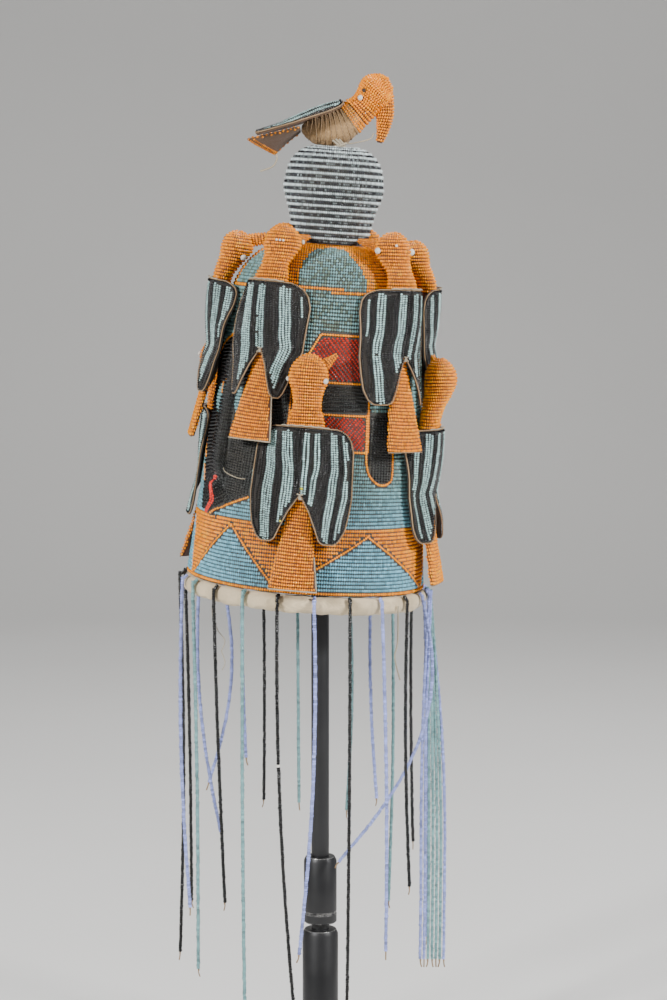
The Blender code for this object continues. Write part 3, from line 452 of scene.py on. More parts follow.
def smooth_table(table, at):
    """Rows of a table read between its own rows, at fractional row numbers."""
    table = np.asarray(table, float)
    last = len(table) - 1
    at = np.clip(np.asarray(at, float), 0, last)
    low = np.minimum(at.astype(int), last - 1)
    t = (at - low)[:, None]
    p1 = table[low]
    p2 = table[low + 1]
    p0 = np.where((low > 0)[:, None], table[np.maximum(low - 1, 0)], 2 * p1 - p2)
    p3 = np.where((low + 2 <= last)[:, None], table[np.minimum(low + 2, last)], 2 * p2 - p1)
    bend = 2 * p0 - 5 * p1 + 4 * p2 - p3
    return 0.5 * (2 * p1 + (p2 - p0) * t + bend * t**2 + (3 * p1 - p0 - 3 * p2 + p3) * t**3)


def smooth_line(points, steps):
    """A smooth line through the points, at so many places between each two."""
    points = np.asarray(points, float)
    return smooth_table(points, np.linspace(0, len(points) - 1, (len(points) - 1) * steps + 1))


def unit(vectors):
    return vectors / np.maximum(np.linalg.norm(vectors, axis=-1, keepdims=True), 1e-12)


def moved(points, matrix):
    """Points, as rows of an array, moved by a 4x4 matrix."""
    m = np.array(matrix)
    return np.asarray(points) @ m[:3, :3].T + m[:3, 3]


def way_along(points):
    steps = np.linalg.norm(np.diff(points, axis=0), axis=1)
    return np.concatenate([[0], np.cumsum(steps)])


def even_places(points, pitch, closed=False, phase=0.5, anchor=None):
    """Fractional indices along a line of points that lie a pitch apart, one of them anchored."""
    if closed:
        points = np.vstack([points, points[:1]])
    along = way_along(points)
    if anchor is not None:
        first = np.interp(anchor, np.arange(len(points)), along)
        steps = np.arange(int(-first / pitch), int((along[-1] - first) / pitch) + 1)
        return np.interp(first + steps * pitch, along, np.arange(len(points)))
    count = max(int(round(along[-1] / pitch)), 3 if closed else 1)
    wanted = (np.arange(count) + phase) * along[-1] / count
    return np.interp(wanted, along, np.arange(len(points)))


def read_at(rows, index, closed=False):
    """Rows of an array read at fractional indices."""
    if closed:
        rows = np.vstack([rows, rows[:1]])
    low = np.clip(index.astype(int), 0, len(rows) - 2)
    t = (index - low)[:, None]
    return rows[low] * (1 - t) + rows[low + 1] * t


def inside(outline, azimuth, height):
    """Which places lie inside an outline on the shell, by the even-odd rule."""
    points = np.asarray(outline, float)
    middle = points[:, 0].mean()
    x = (azimuth - middle + 180) % 360 - 180 + middle
    found = np.zeros(len(x), bool)
    for (x1, y1), (x2, y2) in zip(points, np.roll(points, -1, axis=0)):
        if y1 != y2:
            crosses = (y1 > height) != (y2 > height)
            found ^= crosses & (x < (x2 - x1) * (height - y1) / (y2 - y1) + x1)
    return found


# Beads: one is modelled, and copied along the rows


def model_bead(whole):
    """A six-sided barrel along X, a unit long and wide. Half of it where it is sewn down."""
    deselect()
    bpy.ops.mesh.primitive_cylinder_add(
        vertices=6, radius=0.5, depth=1.0, end_fill_type="NOTHING", rotation=(0, math.pi / 2, 0)
    )
    bead = bpy.context.object
    bpy.ops.object.transform_apply(location=False, rotation=True, scale=False)
    set_mode("EDIT")
    select_mesh()
    bpy.ops.mesh.bisect(plane_co=(0, 0, 0), plane_no=(1, 0, 0))
    if not whole:
        select_mesh()
        bpy.ops.mesh.bisect(plane_co=(0, 0, 0.01), plane_no=(0, 0, 1), clear_inner=True)
    set_mode("OBJECT")
    narrowing = 0.80 if whole else 0.16
    for vertex in bead.data.vertices:
        if abs(vertex.co.x) > 0.25:
            vertex.co.y *= narrowing
            vertex.co.z *= narrowing
    points = vertex_places(bead)
    faces = np.array([p.vertices[:] for p in bead.data.polygons if len(p.vertices) == 4])
    bpy.data.objects.remove(bead, do_unlink=True)
    return points, faces


class Beads:
    """Places of sewn or strung beads, each with its row's direction, size and colour."""

    def __init__(self):
        self.rows = []

    def add(self, centres, along, outward, length, width, tints):
        count = len(centres)
        if count:
            size = np.broadcast_to(np.array([length, width], float), (count, 2))
            tints = np.broadcast_to(np.asarray(tints, float), (count, 3))
            self.rows.append(np.hstack([centres, unit(along), unit(outward), size, tints]))

    def table(self):
        return np.vstack(self.rows)


def uneven(rng, count, spread, least, most):
    return rng.normal(1.0, spread, count).clip(least, most)


def bead_piece(name, rows, matrix, whole=False, seed=0):
    """One joined mesh of all the beads of a field, uneven as hand sewing is."""
    rng = draws(seed)
    count = len(rows)
    if whole not in BEAD_FORMS:
        BEAD_FORMS[whole] = model_bead(whole)
    points, faces = BEAD_FORMS[whole]
    rotation = np.array(matrix)[:3, :3].T
    along = unit(rows[:, 3:6] @ rotation + rng.normal(0, UNEVEN_TILT, (count, 3)))
    outward = rows[:, 6:9] @ rotation
    outward = unit(outward - along * np.sum(outward * along, axis=1)[:, None])
    across = np.cross(outward, along)
    length = rows[:, 9] * uneven(rng, count, *UNEVEN_LENGTH)
    width = rows[:, 10] * uneven(rng, count, *UNEVEN_WIDTH)
    centre = moved(rows[:, 0:3], matrix) + outward * rng.normal(0, UNEVEN_LIFT, count)[:, None]
    vertices = centre[:, None, :]
    for axis, (way, size) in enumerate(((along, length), (across, width), (outward, width))):
        vertices = vertices + points[None, :, axis, None] * (way * size[:, None])[:, None, :]
    polygons = (faces[None] + (np.arange(count) * len(points))[:, None, None]).reshape(-1, 4)
    mesh = bpy.data.meshes.new(name)
    mesh.vertices.add(count * len(points))
    mesh.vertices.foreach_set("co", vertices.ravel())
    mesh.loops.add(polygons.size)
    mesh.loops.foreach_set("vertex_index", polygons.ravel())
    mesh.polygons.add(len(polygons))
    mesh.polygons.foreach_set("loop_start", np.arange(len(polygons)) * 4)
    mesh.update(calc_edges=True)
    mesh.shade_smooth()
    tone = uneven(rng, count, *UNEVEN_TONE)[:, None]
    # black beads differ more, from deep black to grey: random tone that also stands in for the glints on
    # glossy black beads, painted glints
    dark = rows[:, 11:14].max(axis=1) < 0.03
    tone[dark, 0] = np.exp(rng.normal(-0.55, 0.7, dark.sum()).clip(-1.6, 1.0))
    tints = np.hstack([(rows[:, 11:14] * tone).clip(0, 1), np.ones((count, 1))])
    attribute = mesh.attributes.new("bead_colour", "FLOAT_COLOR", "POINT")
    attribute.data.foreach_set("color", np.repeat(tints, len(points), axis=0).ravel())
    return coated(added(name, mesh), "bead_glass")


def settle(obj, slot, *nodes):
    """The finished piece rides on the crown, and stands for its solids."""
    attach(obj, ROOT)
    if nodes:
        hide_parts(*nodes)
    return obj


# Forms through rings, turned forms and cords


def loft(name, rings, material):
    """A closed skin through rings of equal count, grown by extruding the first ring."""
    rings = np.asarray(rings, float)
    deselect()
    bpy.ops.mesh.primitive_circle_add(vertices=rings.shape[1], radius=0.01, fill_type="NGON")
    obj = named(name)
    set_mode("EDIT")
    for _ in rings[1:]:
        bpy.ops.mesh.extrude_region_move(TRANSFORM_OT_translate={"value": (0, 0, 0.001)})
    set_mode("OBJECT")
    obj.data.vertices.foreach_set("co", rings.ravel())
    set_mode("EDIT")
    close_skin()
    obj.data.shade_smooth()
    return coated(obj, material)


def spun(name, profile, steps, material):
    """A closed profile of (radius, height) points, spun about the Z axis."""
    deselect()
    bpy.ops.mesh.primitive_circle_add(vertices=len(profile), radius=0.01)
    obj = named(name)
    for vertex, (radius, height) in zip(obj.data.vertices, profile):
        vertex.co = (radius, 0, height)
    set_mode("EDIT")
    select_mesh()
    bpy.ops.mesh.spin(steps=steps, angle=2 * math.pi, center=(0, 0, 0), axis=(0, 0, 1), use_auto_merge=True)
    select_mesh()
    bpy.ops.mesh.remove_doubles(threshold=MERGE_WITHIN)
    bpy.ops.mesh.dissolve_degenerate(threshold=MERGE_WITHIN)
    close_skin()
    return coated(obj, material)


def sharpen(obj, degrees=35):
    pick(obj)
    bpy.ops.object.shade_smooth_by_angle(angle=math.radians(degrees))
    return obj


def cord_piece(name, lines, thickness, material, sides=1):
    """Round cords along lines of points, each with filled ends, as one mesh."""
    data = bpy.data.curves.new(name, "CURVE")
    data.dimensions = "3D"
    data.bevel_depth = thickness / 2
    data.bevel_resolution = sides
    data.use_fill_caps = True
    for line in lines:
        spline = data.splines.new("POLY")
        spline.points.add(len(line) - 1)
        spline.points.foreach_set("co", np.hstack([line, np.ones((len(line), 1))]).ravel())
    pick(added(name, data))
    bpy.ops.object.convert(target="MESH")
    obj = bpy.context.object
    obj.data.shade_smooth()
    return coated(obj, material)


def puff(obj, voxel, held, cap, grow=0.06):
    """Swells a padded piece as cloth under pressure, with some points held and its reach capped."""
    pick(obj)
    obj.data.remesh_voxel_size = voxel
    bpy.ops.object.voxel_remesh()
    start = vertex_places(obj)
    group = obj.vertex_groups.new(name="held")
    group.add(np.flatnonzero(held(start)).tolist(), 1.0, "REPLACE")
    cloth = obj.modifiers.new("Puff", "CLOTH")
    cloth.settings.use_pressure = True
    cloth.settings.uniform_pressure_force = 4.0
    cloth.settings.vertex_group_mass = "held"
    cloth.settings.shrink_min = -grow
    cloth.settings.bending_stiffness = 0.2
    cloth.settings.effector_weights.gravity = 0
    scene = bpy.context.scene
    for frame_number in range(1, PUFF_FRAMES + 1):
        scene.frame_set(frame_number)
    bpy.ops.object.modifier_apply(modifier="Puff")
    scene.frame_set(1)
    step = vertex_places(obj) - start
    size = np.linalg.norm(step, axis=1)[:, None]
    ended = start + step * np.minimum(1.0, cap / np.maximum(size, 1e-9))
    obj.data.vertices.foreach_set("co", ended.ravel())
    obj.vertex_groups.clear()
    finer = obj.modifiers.new("Finer", "SUBSURF")
    finer.levels = finer.render_levels = 1
    bpy.ops.object.modifier_apply(modifier="Finer")
    obj.data.shade_smooth()


# The shell's own surface


def cone_radius(height):
    return RIM_RADIUS - (RIM_RADIUS - SHOULDER_RADIUS) * height / SHOULDER_HEIGHT


CONE_SLOPE = math.atan((RIM_RADIUS - SHOULDER_RADIUS) / SHOULDER_HEIGHT)


def shell_profile():
    """Way up from the rim, radius and height of the shell's outer line, every half millimetre."""
    rise = np.linspace(0, SHOULDER_HEIGHT, 500)
    turn = np.linspace(0, math.pi / 2, 200)[1:]
    radius = np.concatenate(
        [cone_radius(rise), SEAT_RADIUS + (SHOULDER_RADIUS - SEAT_RADIUS) * np.cos(turn)]
    )
    height = np.concatenate([rise, SHOULDER_HEIGHT + (CROWN_HEIGHT - SHOULDER_HEIGHT) * np.sin(turn)])
    return way_along(np.column_stack([radius, height])), radius, height


SHELL_WAY, SHELL_RADIUS, SHELL_HEIGHT = shell_profile()
SHELL_OUT = np.gradient(SHELL_HEIGHT, SHELL_WAY)
SHELL_UP = -np.gradient(SHELL_RADIUS, SHELL_WAY)


def way_of(height):
    return np.interp(height, SHELL_HEIGHT, SHELL_WAY)


def height_of(way):
    return np.interp(way, SHELL_WAY, SHELL_HEIGHT)


def oval_rise(azimuth, way, oval):
    """Height of a padded oval over the shell."""
    centre, level, width, length, height = oval
    side = np.radians(azimuth - centre) * cone_radius(level)
    up = way - way_of(level)
    left = 1 - (2 * side / width) ** 2 - (2 * up / length) ** 2
    return height * np.sqrt(np.clip(left, 0, 1))


def ridge_place(azimuth, way):
    """Share along the ridge from its middle, and distance across it."""
    side = np.radians(azimuth - RIDGE_AZIMUTH) * cone_radius(RIDGE_MIDDLE)
    up = way - way_of(RIDGE_MIDDLE)
    along = side * math.sin(RIDGE_LEAN) + up * math.cos(RIDGE_LEAN)
    across = side * math.cos(RIDGE_LEAN) - up * math.sin(RIDGE_LEAN)
    return along / RIDGE_HALF, across


def relief(azimuth, way):
    """How far the padded face stands out from the shell."""
    turn = (azimuth + 180) % 360 - 180
    rise = oval_rise(turn, way, MOUTH_OVAL)
    for oval in EYE_OVALS:
        rise = np.maximum(rise, oval_rise(turn, way, oval))
    share, across = ridge_place(turn, way)
    half = RIDGE_WIDTH / 2 * (1 - 0.12 * share)
    form = np.sqrt(np.clip(1 - np.abs(across / half) ** 3, 0, 1)) * np.sqrt(np.clip(1 - share**10, 0, 1))
    return np.maximum(rise, RIDGE_HEIGHT * form)


def shell_line(way):
    """Radius of the shell's outer line, and how far its normal points outward and up."""
    return [np.interp(way, SHELL_WAY, values) for values in (SHELL_RADIUS, SHELL_OUT, SHELL_UP)]


def shell_points(azimuth, way, depth):
    """Points in the crown's frame, so deep under the beaded face."""
    turn = np.radians(azimuth)
    radius, out, up = shell_line(way)
    off = relief(azimuth, way) - depth
    flat = radius + off * out
    return np.column_stack([flat * np.sin(turn), -flat * np.cos(turn), height_of(way) + off * up])


def shell_normals(azimuth, way):
    step = 0.0006
    turn = np.degrees(step / 0.1)
    right = shell_points(azimuth + turn, way, 0) - shell_points(azimuth - turn, way, 0)
    over = np.clip(way + step, 0, SHELL_WAY[-1])
    under = np.clip(way - step, 0, SHELL_WAY[-1])
    rise = shell_points(azimuth, over, 0) - shell_points(azimuth, under, 0)
    return unit(np.cross(right, rise))


def ridge_outline():
    """The ridge's outline, a little wider than its form."""
    corners = []
    for along, across in ((-1, -1), (1, -1), (1, 1), (-1, 1)):
        wide = 0.5 * RIDGE_WIDTH * across * 1.08
        tall = along * (RIDGE_HALF + 0.001)
        side = wide * math.cos(RIDGE_LEAN) + tall * math.sin(RIDGE_LEAN)
        up = tall * math.cos(RIDGE_LEAN) - wide * math.sin(RIDGE_LEAN)
        turn = math.degrees(side / cone_radius(RIDGE_MIDDLE))
        corners.append((RIDGE_AZIMUTH + turn, 1000 * (RIDGE_MIDDLE + up)))
    return corners


def eye_outline(oval, corners=24):
    """An eye's outline, a little wider than its form."""
    centre, level, width, length, _ = oval
    outline = []
    for i in range(corners):
        turn = 2 * math.pi * i / corners
        aside = math.degrees(0.55 * width * math.cos(turn) / cone_radius(level))
        outline.append((centre + aside, 1000 * level + 560 * length * math.sin(turn)))
    return outline


def shell_regions():
    """The regions of the face and the side panel, those that lie over others first."""
    regions = [(ridge_outline(), -3, "black", 0.0031)]
    regions += [(eye_outline(oval), 0, "teal", 0.0030) for oval in EYE_OVALS]
    return regions + list(REGIONS)


def region_at(regions, azimuth, height_mm):
    """Index of the first region that holds each place, or -1."""
    found = np.full(len(azimuth), -1)
    for index in range(len(regions) - 1, -1, -1):
        found[inside(regions[index][0], azimuth, height_mm)] = index
    return found


def ground_tints(azimuth, height_mm):
    """Colour of the ground rows: blue-green, with the orange bands and the shoulder."""
    teal, blue, olive = (np.array(colour(name)) for name in ("teal", "blue", "olive"))
    low = np.clip((110 - height_mm) / 60, 0, 1)[:, None]
    tints = blue * low + teal * (1 - low)
    odd = (np.sin(azimuth * 57.31 + height_mm * 91.7) * 437.58) % 1
    amount = np.where(odd > 0.72, 0.75, odd * 0.35) * np.clip((height_mm - 70) / 80, 0, 1)
    tints = tints + (olive - tints) * amount[:, None]
    in_band = height_mm < BAND_TOP
    for left, apex, right in TRIANGLES:
        shape = ((left, 3), (apex - 2, APEX), (apex + 2, APEX), (right, 3))
        in_band &= ~inside(shape, azimuth, height_mm)
    in_band &= ~inside(SIDE_PATCH, azimuth, height_mm)
    in_band |= height_mm < RIM_ROW
    shoulder = height_mm > SHOULDER_EDGE
    for left, right in ARCHES:
        shape = [(left + share * (right - left), level) for share, level in ARCH_LINE]
        shoulder &= ~inside(shape, azimuth, height_mm)
    shoulder |= np.abs(height_mm - 276) < 1.7
    tints[in_band | shoulder] = colour("orange")
    # one dark row under the side panel
    dark = (height_mm > 126) & (height_mm < 130) & (azimuth % 360 < 28.8)
    tints[dark] = teal * 0.35
    return tints


def shell_strands():
    """Outline strands on the shell: colour and points in degrees and millimetres."""
    strands = []
    for left, apex, right in TRIANGLES:
        strands.append(("orange", [(left, 4), (apex - 3, 51), (apex, 54.5), (apex + 3, 51), (right, 4)]))
    strands += [("orange", line) for line in EDGE_STRANDS]
    for aside in (-0.7, 0.7):
        strands.append(("scarlet", [(at + aside, level) for at, level in LIPS]))
    return strands + [("scarlet", LIP_TOP)]


def sew_line(beads, azimuth, way, tints, length, width, keep=None, depth=BEAD_DEPTH, anchor=None):
    """Sews beads at even distances along a line on the shell."""
    line = shell_points(azimuth, way, depth)
    index = even_places(line, sizes().bead_pitch, anchor=anchor)
    places = read_at(np.column_stack([azimuth, way]), index)
    at, up = places[:, 0], places[:, 1]
    kept = np.ones(len(at), bool) if keep is None else keep(at, 1000 * height_of(up))
    at, up = at[kept], up[kept]
    if not len(at):
        return
    ahead = read_at(np.gradient(line, axis=0), index[kept])
    shown = tints(at, 1000 * height_of(up)) if callable(tints) else tints
    beads.add(shell_points(at, up, depth), ahead, shell_normals(at, up), length, width, shown)


def sew_strands():
    """Single strands along the edges of the shapes, as rows of a table."""
    beads = Beads()
    for tint, points in shell_strands():
        line = smooth_line(points, 24)
        sew_line(
            beads, line[:, 0], way_of(line[:, 1] / 1000), colour(tint),
            sizes().bead_pitch * 1.02, 0.0027, depth=BEAD_DEPTH - 0.0005,
        )
    return beads.table()


def sew_ground(beads, regions):
    """Level rows round the shell, wavering a little, where no region is."""
    pitch, row = sizes().bead_pitch, sizes().row_pitch
    turn = np.linspace(0, 360, 721)
    count = int(SHELL_WAY[-1] / row)
    for k in range(count):
        way = np.full(len(turn), (k + 0.5) * SHELL_WAY[-1] / count)
        way = np.clip(way + 0.0003 * np.sin(np.radians(turn * 4) + k * 0.22), 0, SHELL_WAY[-1])
        sew_line(
            beads, turn, way, ground_tints, pitch * SHELL_FILL, row * ROW_FILL,
            keep=lambda at, level: region_at(regions, at, level) < 0,
        )


def sew_region(beads, regions, index):
    """Slanting rows over one region, counted both ways from its middle."""
    outline, slant, tint, distance = regions[index]
    middle, level = np.asarray(outline, float).mean(axis=0)
    around = np.interp(level / 1000, SHELL_HEIGHT, SHELL_RADIUS)
    c, s = math.cos(math.radians(slant)), math.sin(math.radians(slant))
    run = np.linspace(-REGION_REACH, REGION_REACH, 260)
    rows = int(REGION_REACH / distance)
    for k in range(-rows, rows + 1):
        off = k * distance + 0.0003 * np.sin(run * 90 + k * 0.25)
        side, up = c * run - s * off, s * run + c * off
        way = way_of(level / 1000) + up
        at = middle + np.degrees(side / around)
        fits = (way > 0.001) & (way < SHELL_WAY[-1] - 0.001)
        if fits.sum() < 3:
            continue
        sew_line(
            beads, at[fits], way[fits], colour(tint), sizes().bead_pitch * SHELL_FILL, distance * ROW_FILL,
            keep=lambda at, level: region_at(regions, at, level) == index,
            anchor=int(np.argmin(np.abs(run[fits]))),
        )


def sew_shell():
    """All beads of the shell with its face, as rows of a table, with room left for the strands."""
    regions, fields = shell_regions(), Beads()
    sew_ground(fields, regions)
    for index in range(len(regions)):
        sew_region(fields, regions, index)
    table, strands = fields.table(), sew_strands()
    tree = KDTree(len(strands))
    for i, place in enumerate(strands[:, 0:3]):
        tree.insert(place, i)
    tree.balance()
    clear = np.array([tree.find(place)[2] > STRAND_ROOM for place in table[:, 0:3]])
    return np.vstack([table[clear], strands])


# Surfaces through a table of rings: centre, half width, half depth and squareness


def ring_points(table, at, turn, depth=0.0):
    """Points at ring numbers and angles, so deep under the skin."""
    rows = smooth_table(table, at)
    centre, wide, deep, power = rows[:, 0:3], rows[:, 3:6], rows[:, 6:9], rows[:, 9]
    c, s = np.cos(turn), np.sin(turn)
    u = np.sign(c) * np.abs(c) ** (2 / power)
    v = np.sign(s) * np.abs(s) ** (2 / power)
    wide_size = np.linalg.norm(wide, axis=1)
    deep_size = np.linalg.norm(deep, axis=1)
    u = u * np.maximum(1 - depth / np.maximum(wide_size, 1e-6), 0.05)
    v = v * np.maximum(1 - depth / np.maximum(deep_size, 1e-6), 0.05)
    return centre + wide * u[:, None] + deep * v[:, None]


def ring_normals(table, at, turn):
    last = len(table) - 1
    low, high = np.clip(at - 0.03, 0, last), np.clip(at + 0.03, 0, last)
    ahead = ring_points(table, high, turn) - ring_points(table, low, turn)
    aside = ring_points(table, at, turn + 0.05) - ring_points(table, at, turn - 0.05)
    normal = unit(np.cross(aside, ahead))
    away = ring_points(table, at, turn) - smooth_table(table, at)[:, 0:3]
    return normal * np.where(np.sum(normal * away, axis=1) < 0, -1, 1)[:, None]


def sew_rings(beads, table, tint, row, pitch, span=None, keep=None, wave=0.0, width=None, depth=BEAD_DEPTH):
    """Rows of beads round a form, at even distances along its front."""
    low, high = span or (0, len(table) - 1)
    at = np.linspace(low, high, FRONT_STEPS)
    front = way_along(ring_points(table, at, np.full(FRONT_STEPS, math.pi / 2)))
    stations = np.interp(np.arange(row / 2, front[-1], row), front, at)
    turn = math.pi / 2 + np.linspace(0, 2 * math.pi, RING_STEPS + 1)[:-1]
    for k, station in enumerate(stations):
        level = np.clip(station + wave * np.cos(turn * 2 + k * 0.1), low, high)
        line = ring_points(table, level, turn, depth)
        if way_along(line)[-1] < 2.2 * pitch:
            continue
        index = even_places(line, pitch, closed=True)
        centres = read_at(line, index, closed=True)
        ahead = read_at(np.roll(line, -1, axis=0) - np.roll(line, 1, axis=0), index, closed=True)
        angle = math.pi / 2 + index * 2 * math.pi / RING_STEPS
        places = level[np.minimum(index.astype(int), RING_STEPS - 1)]
        normals = ring_normals(table, places, angle)
        kept = np.ones(len(angle), bool) if keep is None else keep(places, angle, centres)
        shown = tint(places, angle, centres)[kept] if callable(tint) else tint
        across = width or row * ROW_FILL
        beads.add(centres[kept], ahead[kept], normals[kept], pitch * BIRD_FILL, across, shown)


def ring_core(name, table, material, matrix, rings=26, sides=20, depth=CLOTH_DEPTH):
    """The stuffed cloth form under the beads."""
    at = np.linspace(0, len(table) - 1, rings)
    turn = np.linspace(0, 2 * math.pi, sides + 1)[:-1]
    skins = [moved(ring_points(table, np.full(sides, a), turn, depth), matrix) for a in at]
    return loft(name, skins, material)


def oval_row(centre, across, outward, power=2.0):
    return [*centre, *across, *outward, power]


# Birds


def on_shell(azimuth, height):
    """Frame on the cone: x outward, y to the right, z up the slope."""
    turn = Matrix.Rotation(math.radians(azimuth - 90), 4, "Z")
    out = Matrix.Translation((cone_radius(height), 0, height))
    return CROWN @ turn @ out @ Matrix.Rotation(-CONE_SLOPE, 4, "Y")


def body_table(row, tail_share):
    """Rings of one bird, from the tail's end to the top of its head."""
    _, rise, neck_out, head_out, _ = row
    rings = []
    for down, width, depth, flare in TAIL_SECTIONS:
        half = depth * TAIL_THICKNESS
        out = GAP + half + flare * (TAIL_FLARE - half)
        centre = (out, 0, -down * TAIL_LENGTH * tail_share)
        rings.append(oval_row(centre, (0, width * TAIL_WIDTH / 2, 0), (half, 0, 0), 3.0))
    for down, share in ((0.20, 0.78), (0.0, 1.0)):
        half = share * BODY_DEPTH / 2
        centre = (GAP + half, 0, -down * TAIL_LENGTH * tail_share)
        rings.append(oval_row(centre, (0, share * BODY_WIDTH / 2, 0), (half, 0, 0), 2.2))
    for up, width, depth, lean in HEAD_SECTIONS:
        centre = (neck_out + lean * (head_out - neck_out), 0, up * rise)
        half = depth * HEAD_DEPTH / 2
        rings.append(oval_row(centre, (0, width * HEAD_WIDTH / 2, 0), (half, 0, 0)))
    return rings


def beak_table(row):
    level, rise, _, head_out, start = row
    head = Vector((head_out, 0, start * rise))
    if row is LOWER_ROW:
        tip = Vector((0.008, 0.6 * HEAD_WIDTH, 1.02 * rise))
    else:
        over = CROWN_HEIGHT - level + 0.003 + BEAK_TIP
        finial = FINIAL_PROFILE[0][1] * FINIAL_RADIUS
        inward = cone_radius(level) - over * math.tan(CONE_SLOPE) - finial - 0.0015
        reach = inward * math.cos(CONE_SLOPE)
        tip = Vector((-reach, 0, (over + reach * math.sin(CONE_SLOPE)) / math.cos(CONE_SLOPE)))
    along = (tip - head).normalized()
    across = along.cross(Vector((0, 0, 1))).normalized()
    up = across.cross(along)
    middle = 0.3 * BEAK_TIP + 0.7 * BEAK_ROOT
    rings = []
    for share, radius in ((0.15, BEAK_ROOT), (0.6, middle), (0.9, 1.25 * BEAK_TIP), (1.0, BEAK_TIP)):
        rings.append(oval_row(head.lerp(tip, share), across * radius, up * radius))
    return rings


def wing_ridge(down, tail_share):
    """Height of the wing's inner face over the bird's body."""
    z = down * WING_LENGTH
    full = BODY_DEPTH + 2.5 * GAP
    narrow_at = TAIL_SECTIONS[-1][0] * TAIL_LENGTH * tail_share
    narrow = 2 * TAIL_SECTIONS[-1][2] * TAIL_THICKNESS + 5 * GAP
    share = np.clip(z / narrow_at, 0, 1)
    over = full + (narrow - full) * share**1.2 + WING_ARCH * np.sin(math.pi * share)
    rise = (z - narrow_at) / (TAIL_LENGTH * tail_share - narrow_at)
    return np.where(z < narrow_at, over, narrow + rise * TAIL_FLARE * 1.15)


def wing_edges(down, taper):
    """Inner and outer edge of a lobe, as shares of half the wing's width."""
    levels, *edges = np.asarray(WING_ROWS).T
    full, tapered, inner = (np.interp(down, levels, edge) for edge in edges)
    return inner, full + taper * (tapered - full)


def wing_surface(side, down, wing, lobe, lift):
    """Points of a wing's inner face, plus a height over it."""
    _, length, ridge, wall = wing
    ease = np.clip(down / 0.45, 0, 1)
    raised = 2 * GAP + lobe[1] * WING_LIFT * ease * ease * (3 - 2 * ease)
    fall = np.clip((np.abs(side) / (BODY_WIDTH / 2) - WING_FLAT) / (WING_DROP - WING_FLAT), 0, 1)
    drape = 1 - fall * fall * (3 - 2 * fall)
    base = np.sqrt(np.maximum(wall * wall - side * side, 0)) - wall + raised
    x = base + (ridge(down) - raised) * drape + lift
    return np.column_stack([x, side, -down * length])


def wing_normals(side, down, wing, lobe):
    d, s = 0.01, 0.0008
    right = wing_surface(side + s, down, wing, lobe, 0) - wing_surface(side - s, down, wing, lobe, 0)
    below = wing_surface(side, np.clip(down + d, 0, 1), wing, lobe, 0)
    above = wing_surface(side, np.clip(down - d, 0, 1), wing, lobe, 0)
    return unit(np.cross(right, above - below))


def lobe_outline(wing, lobe, inset):
    """Places round a lobe from its top middle by the outer edge to the notch: aside and down."""
    half, share = wing[0] / 2, inset / wing[1]
    top_down, long_down = np.linspace(0.004 + share, 0.08, 6), np.linspace(0.09, 0.97, 44)[:-1]
    down = np.concatenate([top_down, long_down, [0.985 - share]])
    inner, outer = wing_edges(down, lobe[0])
    out_side = outer * half - inset
    top_side = np.linspace(0.0005, out_side[0], 11)[:-1]
    tip_side = np.linspace(out_side[-1], inner[-1] * half + inset, 7)[1:-1]
    back_down = np.linspace(0.98 - share, 0.60, 22)
    back_side = wing_edges(back_down, lobe[0])[0] * half + inset
    side = np.concatenate([top_side, out_side, tip_side, back_side])
    tip_down = np.full(len(tip_side), 0.995 - share)
    way = np.concatenate([np.full(len(top_side), down[0]), down, tip_down, back_down])
    return side, np.clip(way, 0.002, 0.998)


def sew_column(beads, side, down, wing, lobe, fits, tint, rng):
    """One column of beads on a lobe, with a few beads missing."""
    column, pitch = sizes().column_pitch, sizes().bird_pitch
    run = wing_surface(side, down, wing, lobe, WING_THICKNESS - BEAD_DEPTH)
    index = even_places(run, pitch, phase=rng.uniform(0.3, 0.7))
    index = index[fits[np.minimum(np.round(index).astype(int), len(run) - 1)]]
    index = index[rng.random(len(index)) > MISSING_BEADS]
    places = read_at(np.column_stack([side, down]), index)
    normals = wing_normals(places[:, 0], places[:, 1], wing, lobe)
    ahead = read_at(np.gradient(run, axis=0), index)
    tints = np.tile(tint, (len(index), 1))
    beads.add(read_at(run, index), ahead, normals, pitch * BIRD_FILL, column * 0.97, tints)


def ways_across(wing, lobe, sign, down, steps=40):
    """How far along the cloth each place aside lies from the lobe's middle, a row for each level."""
    side = np.linspace(0, wing[0] / 2, steps)
    level, aside = np.repeat(down, steps), np.tile(side, len(down))
    places = wing_surface(sign * aside, level, wing, lobe, WING_THICKNESS).reshape(len(down), steps, 3)
    lengths = np.linalg.norm(np.diff(places, axis=1), axis=2)
    return np.hstack([np.zeros((len(down), 1)), np.cumsum(lengths, axis=1)]), side


